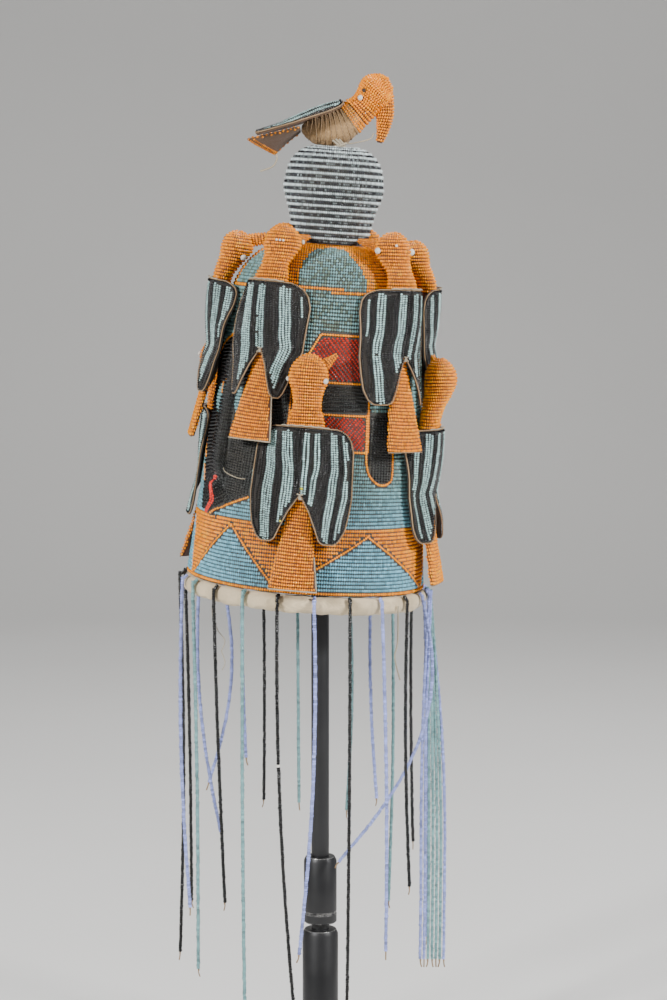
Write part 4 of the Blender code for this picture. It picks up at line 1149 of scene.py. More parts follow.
def sew_wing(beads, wing, lobes, patterns, rng):
    """Columns of beads down both lobes, wavering a little, inside a black border."""
    column, half = sizes().column_pitch, wing[0] / 2
    tints = {"b": np.array(colour("black")), "t": np.array(colour("mint"))}
    down = np.linspace(0.012, 0.985, 140)
    for sign, lobe, pattern in ((-1, lobes[0], patterns[0][::-1]), (1, lobes[1], patterns[1])):
        edge, way = lobe_outline(wing, lobe, 0.0022)
        sew_column(beads, sign * edge, way, wing, lobe, np.ones(len(edge), bool), tints["b"], rng)
        phase, kink = rng.uniform(0, 6.28), rng.uniform(0.25, 0.8)
        turned = rng.choice([-1.0, 1.0])
        inner, outer = wing_edges(down, lobe[0])
        fan = np.where(down > 0.35, outer / np.interp(0.35, down, outer), 1.0) ** (0.85 * lobe[0])
        ways, sides = ways_across(wing, lobe, sign, down)
        for k in range(int(ways[:, -1].max() / column) + 1):
            sway = 0.0012 * np.sin(down * 6.5 + phase) + turned * 0.0012 * np.tanh((down - kink) * 20)
            sway = sway * min(1.0, (k + 0.3) / 4)
            wanted = (k + 0.45) * column * fan + sway + 0.00022 * np.sin(down * 23 + k * 2.1)
            side = np.array([np.interp(way, row, sides) for way, row in zip(wanted, ways)])
            within = side < outer * half - BORDER_ROOM
            beyond = side > inner * half + NOTCH_ROOM * (inner > 0)
            fits = within & beyond & (down > 0.045)
            if fits.sum() >= 4:
                tint = tints[pattern[min(k, len(pattern) - 1)]]
                sew_column(beads, sign * side, down, wing, lobe, fits, tint, rng)


def wing_cloth(name, wing, lobes, material, matrix, across=11):
    """Both cloth lobes under the beads, each a closed padded panel."""
    pieces = []
    half = wing[0] / 2
    thick = WING_THICKNESS - CLOTH_DEPTH - 0.0004
    rounded = np.sqrt(np.clip(1 - np.linspace(-1, 1, across) ** 8, 0, 1))
    swell = thick * (0.35 + 0.65 * rounded)
    for sign, lobe in zip((-1, 1), lobes):
        skins = []
        for down in (0.003, 0.012, 0.03, 0.05, 0.08, 0.12, *np.linspace(0.18, 0.94, 14), 0.97, 0.995):
            inner, outer = wing_edges(down, lobe[0])
            side = sign * np.linspace(inner * half + 0.0003, outer * half - 0.0004, across)
            rows = np.full(across, down)
            top = wing_surface(side, rows, wing, lobe, swell)
            bottom = wing_surface(side[::-1], rows, wing, lobe, 0.0001)
            skins.append(moved(np.vstack([top, bottom]), matrix))
        pieces.append(loft(name, skins, material))
    pick(pieces[0])
    pieces[1].select_set(True)
    bpy.ops.object.join()
    return named(name)


def bird_tints(shade):
    return np.array(colour("orange")) * shade


def make_bird(number, name, row, azimuth, wing_share, tail_share, left, right, *patterns):
    """One stuffed bird with beaded body and wings."""
    matrix = on_shell(azimuth, row[0])
    rng = draws(40 + number)
    table = body_table(row, tail_share)
    shade = rng.uniform(0.92, 1.06)
    core = ring_core(name + "_cloth", table, "orange_cloth", matrix)
    settle(core, "beaded_orange", name)
    beads = Beads()
    pitch, row_pitch = sizes().bird_pitch, sizes().bird_row
    hem_from = HEMMED.get(name, (0, 0))[0]

    def shown(at, turn, centres):
        """Leaves out what the wings cover, the tail's underside and its hem."""
        covered = (centres[:, 2] < -0.004) & (centres[:, 2] > -0.055)
        under = (np.sin(turn) < -0.35) & (at < 4)
        hem = (np.cos(turn) > 0.93) & (at < hem_from)
        return ~(covered | under | hem)

    sew_rings(beads, table, bird_tints(shade), row_pitch, pitch, keep=shown, wave=0.015)
    beak = beak_table(row)
    sew_rings(beads, beak, bird_tints(shade * 0.9), 0.0028, pitch * 0.9)
    settle(bead_piece(name + "_beads", beads.table(), matrix, seed=number), "beaded_orange")
    beak_core = ring_core(name + "_beak", beak, "orange_cloth", matrix, rings=8, sides=10)
    settle(beak_core, "beaded_orange")
    wall = cone_radius(row[0] - WING_LENGTH / 2)
    wing = (WING_WIDTH * wing_share, WING_LENGTH, lambda down: wing_ridge(down, tail_share), wall)
    make_wings(name, wing, (left, right), patterns, matrix, rng, number)
    make_hem(name, table, matrix)
    make_neck_band(name, wing, (left, right), matrix)
    make_tuft(name, wing, (left, right), matrix, rng)
    for place, eye in enumerate(EYES.get(name, PLAIN_EYES), start=1):
        make_eye(name + "_eye_%d" % place, table, matrix, *eye)


def make_wings(name, wing, lobes, patterns, matrix, rng, number, cloth="wing_cloth"):
    """Wing panels with their cloth, bead columns and edge cords."""
    panel = wing_cloth(name + "_wing_cloth", wing, lobes, cloth, matrix)
    settle(panel, "beaded_wing", name + "_wings")
    beads = Beads()
    sew_wing(beads, wing, lobes, patterns, rng)
    table = beads.table()
    if name == YELLOW_BEADS[0]:
        for place in YELLOW_BEADS[1]:
            nearest = np.linalg.norm(table[:, 0:3] - place, axis=1).argmin()
            table[nearest, 11:14] = colour("yellow")
    settle(bead_piece(name + "_wing_beads", table, matrix, seed=number + 20), "beaded_wing")
    lines = []
    for sign, lobe in zip((-1, 1), lobes):
        side, down = lobe_outline(wing, lobe, 0.0004)
        lines.append(moved(wing_surface(sign * side, down, wing, lobe, WING_THICKNESS * 0.5), matrix))
    settle(cord_piece(name + "_wing_cord", lines, sizes().piping, "tan_cord"), "beaded_wing")


def make_hem(name, table, matrix):
    """Cloth edge along the tail's end, and on some birds along its right side too."""
    end = ring_points(table, np.zeros(24), np.linspace(0.02, math.pi - 0.02, 24), 0.0010)
    end[:, 2] -= 0.0003
    if name in HEMMED:
        side = ring_points(table, np.linspace(*HEMMED[name], 22), np.zeros(22), 0.0010)
        line, thickness, material = np.vstack([side, end]), 0.0014, "pale_thread"
    else:
        line, thickness, material = end, 0.0010, "tan_cord"
    settle(cord_piece(name + "_hem", [moved(line, matrix)], thickness, material), "beaded_orange")


def make_neck_band(name, wing, lobes, matrix, steps=26):
    """Pale edge of the cloth where the neck comes out from under the wings."""
    side = np.linspace(-0.46, 0.46, steps) * wing[0] / 2
    down = 0.002 + 0.006 * np.abs(np.linspace(-1, 1, steps)) ** 3
    line = wing_surface(side, down, wing, lobes[1], WING_THICKNESS * 0.85)
    line[:, 2] += 0.0006 + 0.0003 * np.sin(np.arange(steps) * 1.3)
    settle(cord_piece(name + "_neck_band", [moved(line, matrix)], 0.0013, "pale_thread"), "beaded_wing")


def make_tuft(name, wing, lobes, matrix, rng):
    """Stitches and frayed cotton at the notch between the lobes."""
    size = TUFTS.get(name, 0.8)
    start = wing_surface(np.zeros(1), np.array([0.585]), wing, lobes[0], WING_THICKNESS * 0.75)[0]
    lines = []
    for _ in range(6):
        way = np.array([rng.uniform(0.1, 0.4), rng.uniform(-0.45, 0.45), -1.0])
        run = np.linspace(0, 1, 5)[:, None]
        bend = np.array([0.0, rng.uniform(-0.4, 0.4), 0.3]) * run**2
        lines.append(moved(start + (way * run + bend) * 0.0038 * size, matrix))
    stitch = np.array([[0.0004, -0.0017, 0.0006], [0.0009, 0, 0.0002], [0.0004, 0.0019, 0.0004]])
    lines.append(moved(smooth_line(start + stitch * size, 3), matrix))
    settle(cord_piece(name + "_tuft", lines, 0.0007 * size + 0.0003, "pale_thread"), "beaded_wing")


def make_eye(name, table, matrix, at, degrees, radius, material="white_glass"):
    """A round bead sewn on the head, at degrees from its front."""
    turn = np.array([math.radians(90 - degrees)])
    spot = ring_points(table, np.array([at]), turn)[0]
    normal = ring_normals(table, np.array([at]), turn)[0]
    place = Vector(moved(spot + normal * radius * 0.3, matrix))
    deselect()
    bpy.ops.mesh.primitive_uv_sphere_add(segments=16, ring_count=10, radius=radius)
    eye = named(name)
    outward = (matrix.to_3x3() @ Vector(normal)).normalized()
    eye.data.transform(Matrix.Diagonal((1, 1, 0.75, 1)))
    eye.data.transform(Matrix.Translation(place) @ outward.to_track_quat("Z", "Y").to_matrix().to_4x4())
    eye.data.shade_smooth()
    settle(coated(eye, material), "beaded_orange")


# Materials


def new_group(name, inputs, outputs):
    """An empty shader node group with named sockets."""
    group = bpy.data.node_groups.new(name, "ShaderNodeTree")
    for kind, label, value in inputs:
        socket = group.interface.new_socket(name=label, in_out="INPUT", socket_type=kind)
        socket.default_value = value
    for kind, label in outputs:
        group.interface.new_socket(name=label, in_out="OUTPUT", socket_type=kind)
    return group, group.nodes.new("NodeGroupInput"), group.nodes.new("NodeGroupOutput")


def link(output, socket):
    socket.id_data.links.new(output, socket)


def set_inputs(node, **values):
    """Sets a node's inputs, where _ in a name stands for a space."""
    for label, value in values.items():
        node.inputs[label.replace("_", " ")].default_value = value
    return node


def new_node(tree, kind, **values):
    return set_inputs(tree.nodes.new("ShaderNode" + kind), **values)


def object_place(tree):
    return new_node(tree, "TexCoord").outputs["Object"]


def noise_node(tree, scale, detail, vector):
    node = new_node(tree, "TexNoise", Scale=scale, Detail=detail)
    link(vector, node.inputs["Vector"])
    return node


def math_node(tree, operation, first, second):
    node = new_node(tree, "Math")
    node.operation = operation
    link(first, node.inputs[0])
    link(second, node.inputs[1])
    return node.outputs[0]


def ramp_node(tree, factor, *stops):
    node = new_node(tree, "ValToRGB")
    link(factor, node.inputs["Fac"])
    for element, (place, value) in zip(node.color_ramp.elements, stops):
        element.position = place
        element.color = (value, value, value, 1)
    return node.outputs["Color"]


def mix_node(tree, kind, factor, first, second):
    node = new_node(tree, "Mix")
    node.data_type = "RGBA"
    node.blend_type = kind
    for socket, value in ((node.inputs[0], factor), (node.inputs[6], first), (node.inputs[7], second)):
        if isinstance(value, bpy.types.NodeSocket):
            link(value, socket)
        else:
            socket.default_value = value
    return node.outputs[2]


def soil_group():
    """Dust and handling dirt: patches that darken and dull what they lie on."""
    group, start, end = new_group(
        "handling_soil",
        [
            ("NodeSocketColor", "Colour", (0.5, 0.5, 0.5, 1)),
            ("NodeSocketColor", "Soil", (0.12, 0.08, 0.045, 1)),
            ("NodeSocketFloat", "Amount", 0.3),
            ("NodeSocketFloat", "Scale", 22.0),
            ("NodeSocketFloat", "Clean roughness", 0.3),
            ("NodeSocketFloat", "Soiled roughness", 0.6),
        ],
        [("NodeSocketColor", "Colour"), ("NodeSocketFloat", "Roughness")],
    )
    patches = noise_node(group, 20.0, 5.0, object_place(group))
    link(start.outputs["Scale"], patches.inputs["Scale"])
    mask = ramp_node(group, patches.outputs["Fac"], (0.42, 0.0), (0.72, 1.0))
    amount = math_node(group, "MULTIPLY", mask, start.outputs["Amount"])
    mixed = mix_node(group, "MIX", amount, start.outputs["Colour"], start.outputs["Soil"])
    link(mixed, end.inputs["Colour"])
    rough = new_node(group, "MapRange")
    link(mask, rough.inputs["Value"])
    link(start.outputs["Clean roughness"], rough.inputs["To Min"])
    link(start.outputs["Soiled roughness"], rough.inputs["To Max"])
    link(rough.outputs["Result"], end.inputs["Roughness"])
    return group


def weave_group():
    """Plain weave: height of crossing threads, and the same height as a mask that darkens the weave's
    hollows, painted shade, on Object coordinates.
    """
    group, start, end = new_group(
        "plain_weave",
        [("NodeSocketFloat", "Threads", 1600.0), ("NodeSocketFloat", "Waver", 2.0)],
        [("NodeSocketFloat", "Height"), ("NodeSocketFloat", "Mask")],
    )
    place = object_place(group)
    heights = []
    for axis in ("X", "Y", "Z"):
        wave = new_node(group, "TexWave", Detail_Scale=0.6)
        wave.bands_direction = axis
        link(place, wave.inputs["Vector"])
        link(start.outputs["Threads"], wave.inputs["Scale"])
        link(start.outputs["Waver"], wave.inputs["Distortion"])
        heights.append(wave.outputs["Fac"])
    level = math_node(group, "MAXIMUM", heights[0], heights[1])
    total = math_node(group, "MULTIPLY", level, heights[2])
    link(total, end.inputs["Height"])
    link(total, end.inputs["Mask"])
    return group


def new_material(name):
    material = bpy.data.materials.new(name)
    material.use_nodes = True
    MATERIALS[name] = material
    return material.node_tree, material.node_tree.nodes["Principled BSDF"]


def place_group(tree, group, **values):
    node = new_node(tree, "Group")
    node.node_tree = group
    return set_inputs(node, **values)


def soiled(shader, soil, tint, **values):
    """Leads a colour through the soil into the shader, with its roughness."""
    dirt = place_group(shader.id_data, soil, **values)
    link(tint, dirt.inputs["Colour"])
    link(dirt.outputs["Colour"], shader.inputs["Base Color"])
    link(dirt.outputs["Roughness"], shader.inputs["Roughness"])
    return dirt


def relieved(shader, height, strength, distance):
    """Fine relief, read from a height."""
    bumps = new_node(shader.id_data, "Bump", Strength=strength, Distance=distance)
    link(height, bumps.inputs["Height"])
    link(bumps.outputs["Normal"], shader.inputs["Normal"])


def shaded_where_low(tree, share, tint, dark):
    """A colour and its darker tone, mixed by a mask: the darker tone, where the mask is low, is painted
    shade.
    """
    return mix_node(tree, "MIX", share, (*(dark * c for c in tint), 1), (*tint, 1))


def glass_material(name, soil, rough, tint=None):
    """Opaque glass beads, glossy and a little dusty, each in its own colour."""
    tree, shader = new_material(name)
    if tint is None:
        source = new_node(tree, "Attribute")
        source.attribute_name = "bead_colour"
        glass = source.outputs["Color"]
    else:
        fine = noise_node(tree, 900.0, 2.0, object_place(tree))
        glass = mix_node(tree, "MULTIPLY", 0.35, (*tint, 1), fine.outputs["Color"])
    dirt = soiled(
        shader, soil, glass, Amount=0.10, Scale=26.0, Clean_roughness=rough,
        Soiled_roughness=rough + 0.22, Soil=(0.05, 0.035, 0.02, 1),
    )
    # black beads shine most
    grey = new_node(tree, "RGBToBW")
    shine = new_node(tree, "MapRange", From_Min=0.02, From_Max=0.16, To_Min=0.55, To_Max=0.10)
    link(dirt.outputs["Colour"], grey.inputs["Color"])
    link(grey.outputs["Val"], shine.inputs["Value"])
    link(shine.outputs["Result"], shader.inputs["Coat Weight"])
    set_inputs(shader, Specular_IOR_Level=0.25, Coat_Roughness=0.08)


def cloth_material(name, soil, weave, tint, threads, amount, bump=0.0004):
    """Woven cotton with stains, and a soft sheen."""
    tree, shader = new_material(name)
    cloth = place_group(tree, weave, Threads=threads, Waver=2.5)
    # the weave's low parts take the darker tone, painted shade in its hollows
    woven_with_hollow_shade = shaded_where_low(tree, cloth.outputs["Mask"], tint, 0.62)
    soiled(shader, soil, woven_with_hollow_shade, Amount=amount, Scale=34.0, Clean_roughness=0.82, Soiled_roughness=0.95)
    relieved(shader, cloth.outputs["Height"], 0.6, bump)
    set_inputs(shader, Sheen_Weight=0.25, Sheen_Roughness=0.5)


def cord_material(name, soil, tint, amount):
    """Twisted cotton cord or thread."""
    tree, shader = new_material(name)
    twist = new_node(tree, "TexWave", Scale=900.0, Distortion=3.0)
    twist.bands_direction = "DIAGONAL"
    link(object_place(tree), twist.inputs["Vector"])
    # the grooves of the twist take the darker tone, painted shade
    strands = shaded_where_low(tree, twist.outputs["Fac"], tint, 0.5)
    soiled(shader, soil, strands, Amount=amount, Scale=60.0, Clean_roughness=0.8, Soiled_roughness=0.95)
    relieved(shader, twist.outputs["Fac"], 0.5, 0.0003)


def stand_material(soil):
    """Satin black paint, worn bright on its chamfers, with faint dust."""
    tree, shader = new_material("black_steel")
    edge = new_node(tree, "Bevel", Radius=0.0014)
    edge.samples = 4
    facing = new_node(tree, "VectorMath")
    facing.operation = "DOT_PRODUCT"
    link(edge.outputs["Normal"], facing.inputs[0])
    link(new_node(tree, "NewGeometry").outputs["Normal"], facing.inputs[1])
    wear = ramp_node(tree, facing.outputs["Value"], (0.90, 1.0), (0.985, 0.0))
    place = object_place(tree)
    chips = ramp_node(tree, noise_node(tree, 160.0, 4.0, place).outputs["Fac"], (0.40, 0.0), (0.60, 1.0))
    worn = mix_node(tree, "MULTIPLY", 1.0, wear, chips)
    metal = mix_node(tree, "MIX", worn, (*colour("steel"), 1), BARE_STEEL)
    soiled(
        shader, soil, metal, Amount=0.10, Scale=14.0, Clean_roughness=0.34, Soiled_roughness=0.55,
        Soil=(0.10, 0.10, 0.10, 1),
    )
    link(worn, shader.inputs["Metallic"])
    relieved(shader, noise_node(tree, 1400.0, 2.0, place).outputs["Fac"], 0.15, 0.0002)


def stage_material():
    """Pale floor and backdrop. Seen from behind, the backdrop lets the camera through."""
    tree, shader = new_material("pale_floor")
    fine = noise_node(tree, 3.0, 3.0, object_place(tree))
    tone = mix_node(tree, "MIX", fine.outputs["Fac"], *FLOOR_TONES)
    link(tone, shader.inputs["Base Color"])
    set_inputs(shader, Roughness=0.9)
    mix = new_node(tree, "MixShader")
    link(new_node(tree, "NewGeometry").outputs["Backfacing"], mix.inputs[0])
    link(shader.outputs["BSDF"], mix.inputs[1])
    link(new_node(tree, "BsdfTransparent").outputs["BSDF"], mix.inputs[2])
    link(mix.outputs["Shader"], tree.nodes["Material Output"].inputs["Surface"])


def make_materials():
    soil, weave = soil_group(), weave_group()
    glass_material("bead_glass", soil, 0.15)
    glass_material("white_glass", soil, 0.18, tint=colour("white"))
    cloth_material("cotton", soil, weave, colour("cotton"), 420.0, 0.30)
    # the orange and the wing cloth are dark, painted shade in the gaps between the beads
    cloth_material("orange_cloth", soil, weave, SHADED_ORANGE_CLOTH, 500.0, 0.4)
    cloth_material("wing_cloth", soil, weave, SHADED_WING_CLOTH, 500.0, 0.15)
    cloth_material("brown_cloth", soil, weave, BROWN_CLOTH, 500.0, 0.4)
    # the backing under the shell's and the finial's beads is dark too, painted shade in the gaps between the
    # beads
    cloth_material("backing", soil, weave, colour("backing"), 420.0, 0.3)
    cloth_material("wrapping", soil, weave, colour("wrapping"), 260.0, 0.5, bump=0.0008)
    cord_material("tan_cord", soil, colour("tan"), 0.35)
    cord_material("pale_thread", soil, PALE_THREAD, 0.3)
    cord_material("dark_thread", soil, DARK_THREAD, 0.2)
    stand_material(soil)
    stage_material()


# Operators, one for each piece or group of like pieces


class CROWN_OT_shell(bpy.types.Operator):
    """Make the shell's cloth and all the beads sewn on it, with the raised face"""

    bl_idname = "crown.shell"
    bl_label = "Shell and face"

    def execute(self, context):
        self.cloth()
        line = smooth_line(FACE_THREAD, 8)
        thread = moved(shell_points(line[:, 0], way_of(line[:, 1] / 1000), -0.0004), CROWN)
        settle(cord_piece("face_thread", [thread], 0.0009, "pale_thread"), "beaded_shell")
        table = sew_shell()
        turn = azimuth_of(table)
        face = (turn > -106) & (turn < -8)
        front = (turn >= -8) & (turn < 100)
        for label, part in (("face_side", face), ("right_side", front), ("back", ~(face | front))):
            piece = bead_piece("shell_beads_" + label, table[part], CROWN, seed=100)
            settle(piece, "beaded_shell")
            if label == "face_side":
                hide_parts("face_ridge", "face_mouth", "face_eye_left", "face_eye_right")
        return {"FINISHED"}

    def cloth(self):
        """The shell's wall, spun and then padded out under the face."""
        way = np.linspace(0, SHELL_WAY[-1], 56)
        radius, out, up = shell_line(way)
        height = height_of(way)
        outer = list(zip(radius - CLOTH_DEPTH * out, height - CLOTH_DEPTH * up))
        inner = list(zip(radius - WALL * out, height - WALL * up))
        inner = inner[:1] + inner[5:-1:6] + inner[-1:]
        profile = [(0, CROWN_HEIGHT - CLOTH_DEPTH)] + outer[::-1] + inner + [(0, CROWN_HEIGHT - WALL)]
        cloth = spun("shell_cloth", profile, 144, "backing")
        place = vertex_places(cloth)
        flat = np.hypot(place[:, 0], place[:, 1])
        level = way_of(np.clip(place[:, 2], 0, CROWN_HEIGHT))
        skin = flat > np.interp(level, SHELL_WAY, SHELL_RADIUS) - (CLOTH_DEPTH + WALL) / 2
        padded = 0.92 * np.maximum(relief(azimuth_of(place), level) - 0.0012, 0)
        rise = np.where(skin & (flat > 0.05), padded, 0)
        place[:, 0:2] *= (1 + rise / np.maximum(flat, 0.01))[:, None]
        cloth.data.vertices.foreach_set("co", place.ravel())
        cloth.data.transform(CROWN)
        sharpen(cloth, 40)
        settle(cloth, "beaded_shell", "shell")


class CROWN_OT_roll(bpy.types.Operator):
    """Make the padded cotton roll under the rim"""

    bl_idname = "crown.roll"
    bl_label = "Rim roll"

    def execute(self, context):
        middle = RIM_RADIUS - ROLL_INSET
        deselect()
        bpy.ops.mesh.primitive_torus_add(
            major_radius=middle, minor_radius=ROLL_THICKNESS / 2 - 0.0004,
            major_segments=220, minor_segments=22,
        )
        roll = named("rim_roll_cotton")
        place = vertex_places(roll)
        turn = azimuth_of(place)
        away = self.from_ties(turn)
        pinch = 0.11 * np.exp(-((away / 1.9) ** 2))
        folds = 0.035 * np.sin(np.radians(turn * 61)) * np.exp(-((away / 5) ** 2))
        lumps = 0.03 * np.sin(np.radians(turn * 17 + 40)) + 0.02 * np.sin(np.radians(turn * 29))
        size = 1 - pinch + folds * 0.5 + np.minimum(lumps, 0)
        angle = np.radians(turn)
        ring = np.column_stack([np.sin(angle) * middle, -np.cos(angle) * middle, np.zeros(len(place))])
        place = ring + (place - ring) * size[:, None]
        place[:, 2] += -GAP - ROLL_THICKNESS / 2
        roll.data.vertices.foreach_set("co", place.ravel())
        puff(coated(roll, "cotton"), 0.0032, self.tied, 0.0011, grow=0.10)
        roll.data.transform(CROWN)
        settle(roll, "cotton", "rim_roll")
        return {"FINISHED"}

    @staticmethod
    def from_ties(turn):
        """Degrees from each place to the nearest string."""
        ties = np.array([s[1] for s in STRINGS] + [BUNDLE[0] - 4, BUNDLE[0] + 4])
        return np.abs((turn[:, None] - ties[None] + 180) % 360 - 180).min(axis=1)

    def tied(self, place):
        """Points that the strings and the seam at the rim hold."""
        return (self.from_ties(azimuth_of(place)) < 1.3) | (place[:, 2] > -GAP - 0.0016)


class CROWN_OT_finial(bpy.types.Operator):
    """Make the striped finial on the crown's top"""

    bl_idname = "crown.finial"
    bl_label = "Finial"

    def execute(self, context):
        base = CROWN_HEIGHT + GAP
        table = []
        for share, radius in FINIAL_PROFILE:
            size = radius * FINIAL_RADIUS
            table.append(oval_row((0, 0, base + share * FINIAL_HEIGHT), (size, 0, 0), (0, size, 0)))
        core = ring_core("finial_cloth", table, "backing", CROWN, rings=30, sides=40)
        settle(core, "beaded_stripes", "finial")
        beads = Beads()
        self.side_rows(beads, table)
        self.top_rows(beads, base + FINIAL_HEIGHT - BEAD_DEPTH)
        settle(bead_piece("finial_beads", beads.table(), CROWN, seed=60), "beaded_stripes")
        return {"FINISHED"}

    def side_rows(self, beads, table):
        """Dark rows speckled with grey, and pale rows that stand a little higher."""
        pale, slate = np.array(colour("pale")), np.array(colour("slate"))
        row = sizes().finial_pitch
        rng = draws(60)

        def speckled(at, _turn, _centres):
            chance = rng.random(len(at))[:, None]
            grey = np.where(chance < 0.3, pale * 0.22, slate * (0.6 + 1.6 * chance))
            return np.where(chance < 0.05, pale * 0.38, grey)

        levels = np.linspace(0, len(table) - 1, FRONT_STEPS)
        front = way_along(ring_points(table, levels, np.full(FRONT_STEPS, math.pi / 2)))
        for k in range(int(front[-1] / row)):
            span = tuple(np.interp([k * row + 0.0005, (k + 1) * row], front, levels))
            tint = pale if k % 2 else speckled
            width, depth = (row * 1.06, BEAD_DEPTH) if k % 2 else (row * 0.92, BEAD_DEPTH + 0.0003)
            sew_rings(beads, table, tint, row, sizes().bird_pitch, span=span, width=width, depth=depth)

    def top_rows(self, beads, height):
        """Rings of beads on the flat top, dark and pale in turn."""
        tints = (colour("slate"), colour("pale"))
        row, pitch = sizes().finial_pitch, sizes().bead_pitch
        for k in range(1, 7):
            radius = FINIAL_RADIUS * FINIAL_PROFILE[-1][1] - k * row * ROW_FILL
            if radius < 0.001:
                break
            turn = np.arange(0, 2 * math.pi, pitch / radius)
            x, y = radius * np.cos(turn), radius * np.sin(turn)
            centres = np.column_stack([x, y, np.full(len(turn), height)])
            ahead = np.column_stack([-np.sin(turn), np.cos(turn), 0 * turn])
            up = np.tile((0.0, 0.0, 1.0), (len(turn), 1))
            beads.add(centres, ahead, up, pitch * 0.95, row * ROW_FILL, tints[k % 2])


class CROWN_OT_birds(bpy.types.Operator):
    """Make the two rows of birds round the crown"""

    bl_idname = "crown.birds"
    bl_label = "Birds round the crown"

    def execute(self, context):
        for number, bird in enumerate(BIRDS):
            make_bird(number, *bird)
        return {"FINISHED"}


def top_place(x, z):
    return Vector((x, 0, z)) * TOP_SIZE


def top_table(rings):
    """Rings of the top bird, square to the line through their centres."""
    centres = [top_place(x, z) for x, z, _ in rings]
    table = []
    for i, (_, _, radius) in enumerate(rings):
        ahead = centres[min(i + 1, len(rings) - 1)] - centres[max(i - 1, 0)]
        up = ahead.normalized().cross(Vector((0, 1, 0)))
        across = (0, radius * TOP_SIZE * TOP_FLATTEN, 0)
        table.append(oval_row(centres[i], across, up * radius * TOP_SIZE))
    return table


class CROWN_OT_top_bird(bpy.types.Operator):
    """Make the bird on the finial"""

    bl_idname = "crown.top_bird"
    bl_label = "Top bird"

    def execute(self, context):
        rise = CROWN_HEIGHT + FINIAL_HEIGHT + 2 * GAP - 0.0025
        seat = CROWN @ Matrix.Translation((0, 0, rise)) @ Matrix.Rotation(-LEAN, 4, "Y")
        trunk, head, beak = top_table(TOP_BODY), top_table(TOP_HEAD), top_table(TOP_BEAK)
        body = ring_core("top_bird_wrapping", trunk, "wrapping", seat, 34, 24, depth=0.0005)
        puff(body, 0.0021, self.bound(seat, trunk), 0.0008)
        settle(body, "wrapping", "top_bird_body")
        core = ring_core("top_bird_head_cloth", head, "orange_cloth", seat, 16, 18)
        settle(core, "beaded_orange", "top_bird_head")
        settle(ring_core("top_bird_beak_cloth", beak, "orange_cloth", seat, 12, 12), "beaded_orange")
        beads = Beads()
        pitch, row = sizes().bead_pitch, 0.0026
        sew_rings(beads, head, bird_tints(1.0), row, pitch, width=0.0033)
        sew_rings(beads, trunk, bird_tints(1.0), row, pitch, span=(4.15, 5), depth=0.0006, width=0.0034)
        sew_rings(beads, beak, bird_tints(0.95), 0.0029, pitch * 0.95)
        settle(bead_piece("top_bird_head_beads", beads.table(), seat, seed=70), "beaded_orange")
        self.wings(seat)
        self.tail(seat)
        self.ties(seat, trunk)
        make_eye("top_bird_eye", head, seat, 1.05, -58, 0.0026)
        make_eye("top_bird_eye_gap", head, seat, 1.50, -56, 0.0019, material="dark_thread")
        return {"FINISHED"}

    @staticmethod
    def wrap_line(trunk, station, slant):
        """One turn of cloth strip round the body, lying slantwise."""
        turn = np.linspace(0, 2 * math.pi, 31)
        return ring_points(trunk, station + slant * np.sin(turn), turn, 0.0002)

    def bound(self, seat, trunk):
        """Tells which points of the body lie under a turn of the wrapping."""
        lines = moved(np.vstack([self.wrap_line(trunk, *wrap) for wrap in WRAPS]), seat)
        return lambda place: np.array([np.linalg.norm(lines - p, axis=1).min() < 0.0016 for p in place])

    def ties(self, seat, trunk):
        """Turns of the wrapping, the knot at the foot and the loose threads."""
        lines = [moved(self.wrap_line(trunk, *wrap), seat) for wrap in WRAPS]
        settle(cord_piece("top_bird_wraps", lines, 0.0009, "tan_cord"), "wrapping")
        knots = [smooth_line(line, 4) for line in KNOT]
        settle(cord_piece("top_bird_knot", knots, 0.0023, "pale_thread"), "wrapping")
        for number, (thickness, line) in enumerate(LOOSE_THREADS, start=1):
            thread = cord_piece("loose_thread_%d" % number, [smooth_line(line, 6)], thickness, "pale_thread")
            settle(thread, "cotton")

    def wings(self, seat):
        back = Matrix.Rotation(math.pi, 4, "Z") @ Matrix.Rotation(TOP_WING_SLOPE - math.pi / 2, 4, "Y")
        lie = seat @ Matrix.Translation(top_place(*TOP_WING_ROOT)) @ back
        wing = (WING_WIDTH * TOP_WING_SHARE, WING_LENGTH * TOP_WING_SHARE, self.ridge, TOP_WING_BEND)
        lobes = ((0.3, 0.0), (0.3, 0.0))
        make_wings("top_bird", wing, lobes, TOP_WING_COLUMNS, lie, draws(90), 11, cloth="brown_cloth")

    @staticmethod
    def ridge(down):
        return 0.004 * np.sin(math.pi * np.minimum(1.0, 0.3 + down))

    def tail(self, seat):
        start, end = top_place(*TOP_TAIL_ROOT), top_place(*TOP_TAIL_END)
        table = []
        for share, width, depth in TOP_TAIL:
            # the tail twists from upright to its full slant
            side = Vector((share * TOP_TAIL_SIDE[0], *TOP_TAIL_SIDE[1:])).normalized()
            normal = (end - start).cross(side).normalized()
            across = side * (width * TOP_TAIL_WIDTH / 2)
            outward = normal * (depth * TOP_TAIL_THICKNESS / 2)
            table.append(oval_row(start.lerp(end, share), across, outward, 3.0))
        core = ring_core("top_bird_tail_cloth", table, "brown_cloth", seat, 10, 20, depth=0.0009)
        settle(core, "beaded_orange", "top_bird_tail")
        beads = Beads()

        def upper(at, turn, _centres):
            edge = (np.abs(np.cos(turn)) > 0.86) | (at > 1.80)
            return edge | (ring_normals(table, at, turn)[:, 2] > 0)

        sew_rings(beads, table, bird_tints(0.9), 0.0031, sizes().bead_pitch, keep=upper)
        settle(bead_piece("top_bird_tail_beads", beads.table(), seat, seed=80), "beaded_orange")


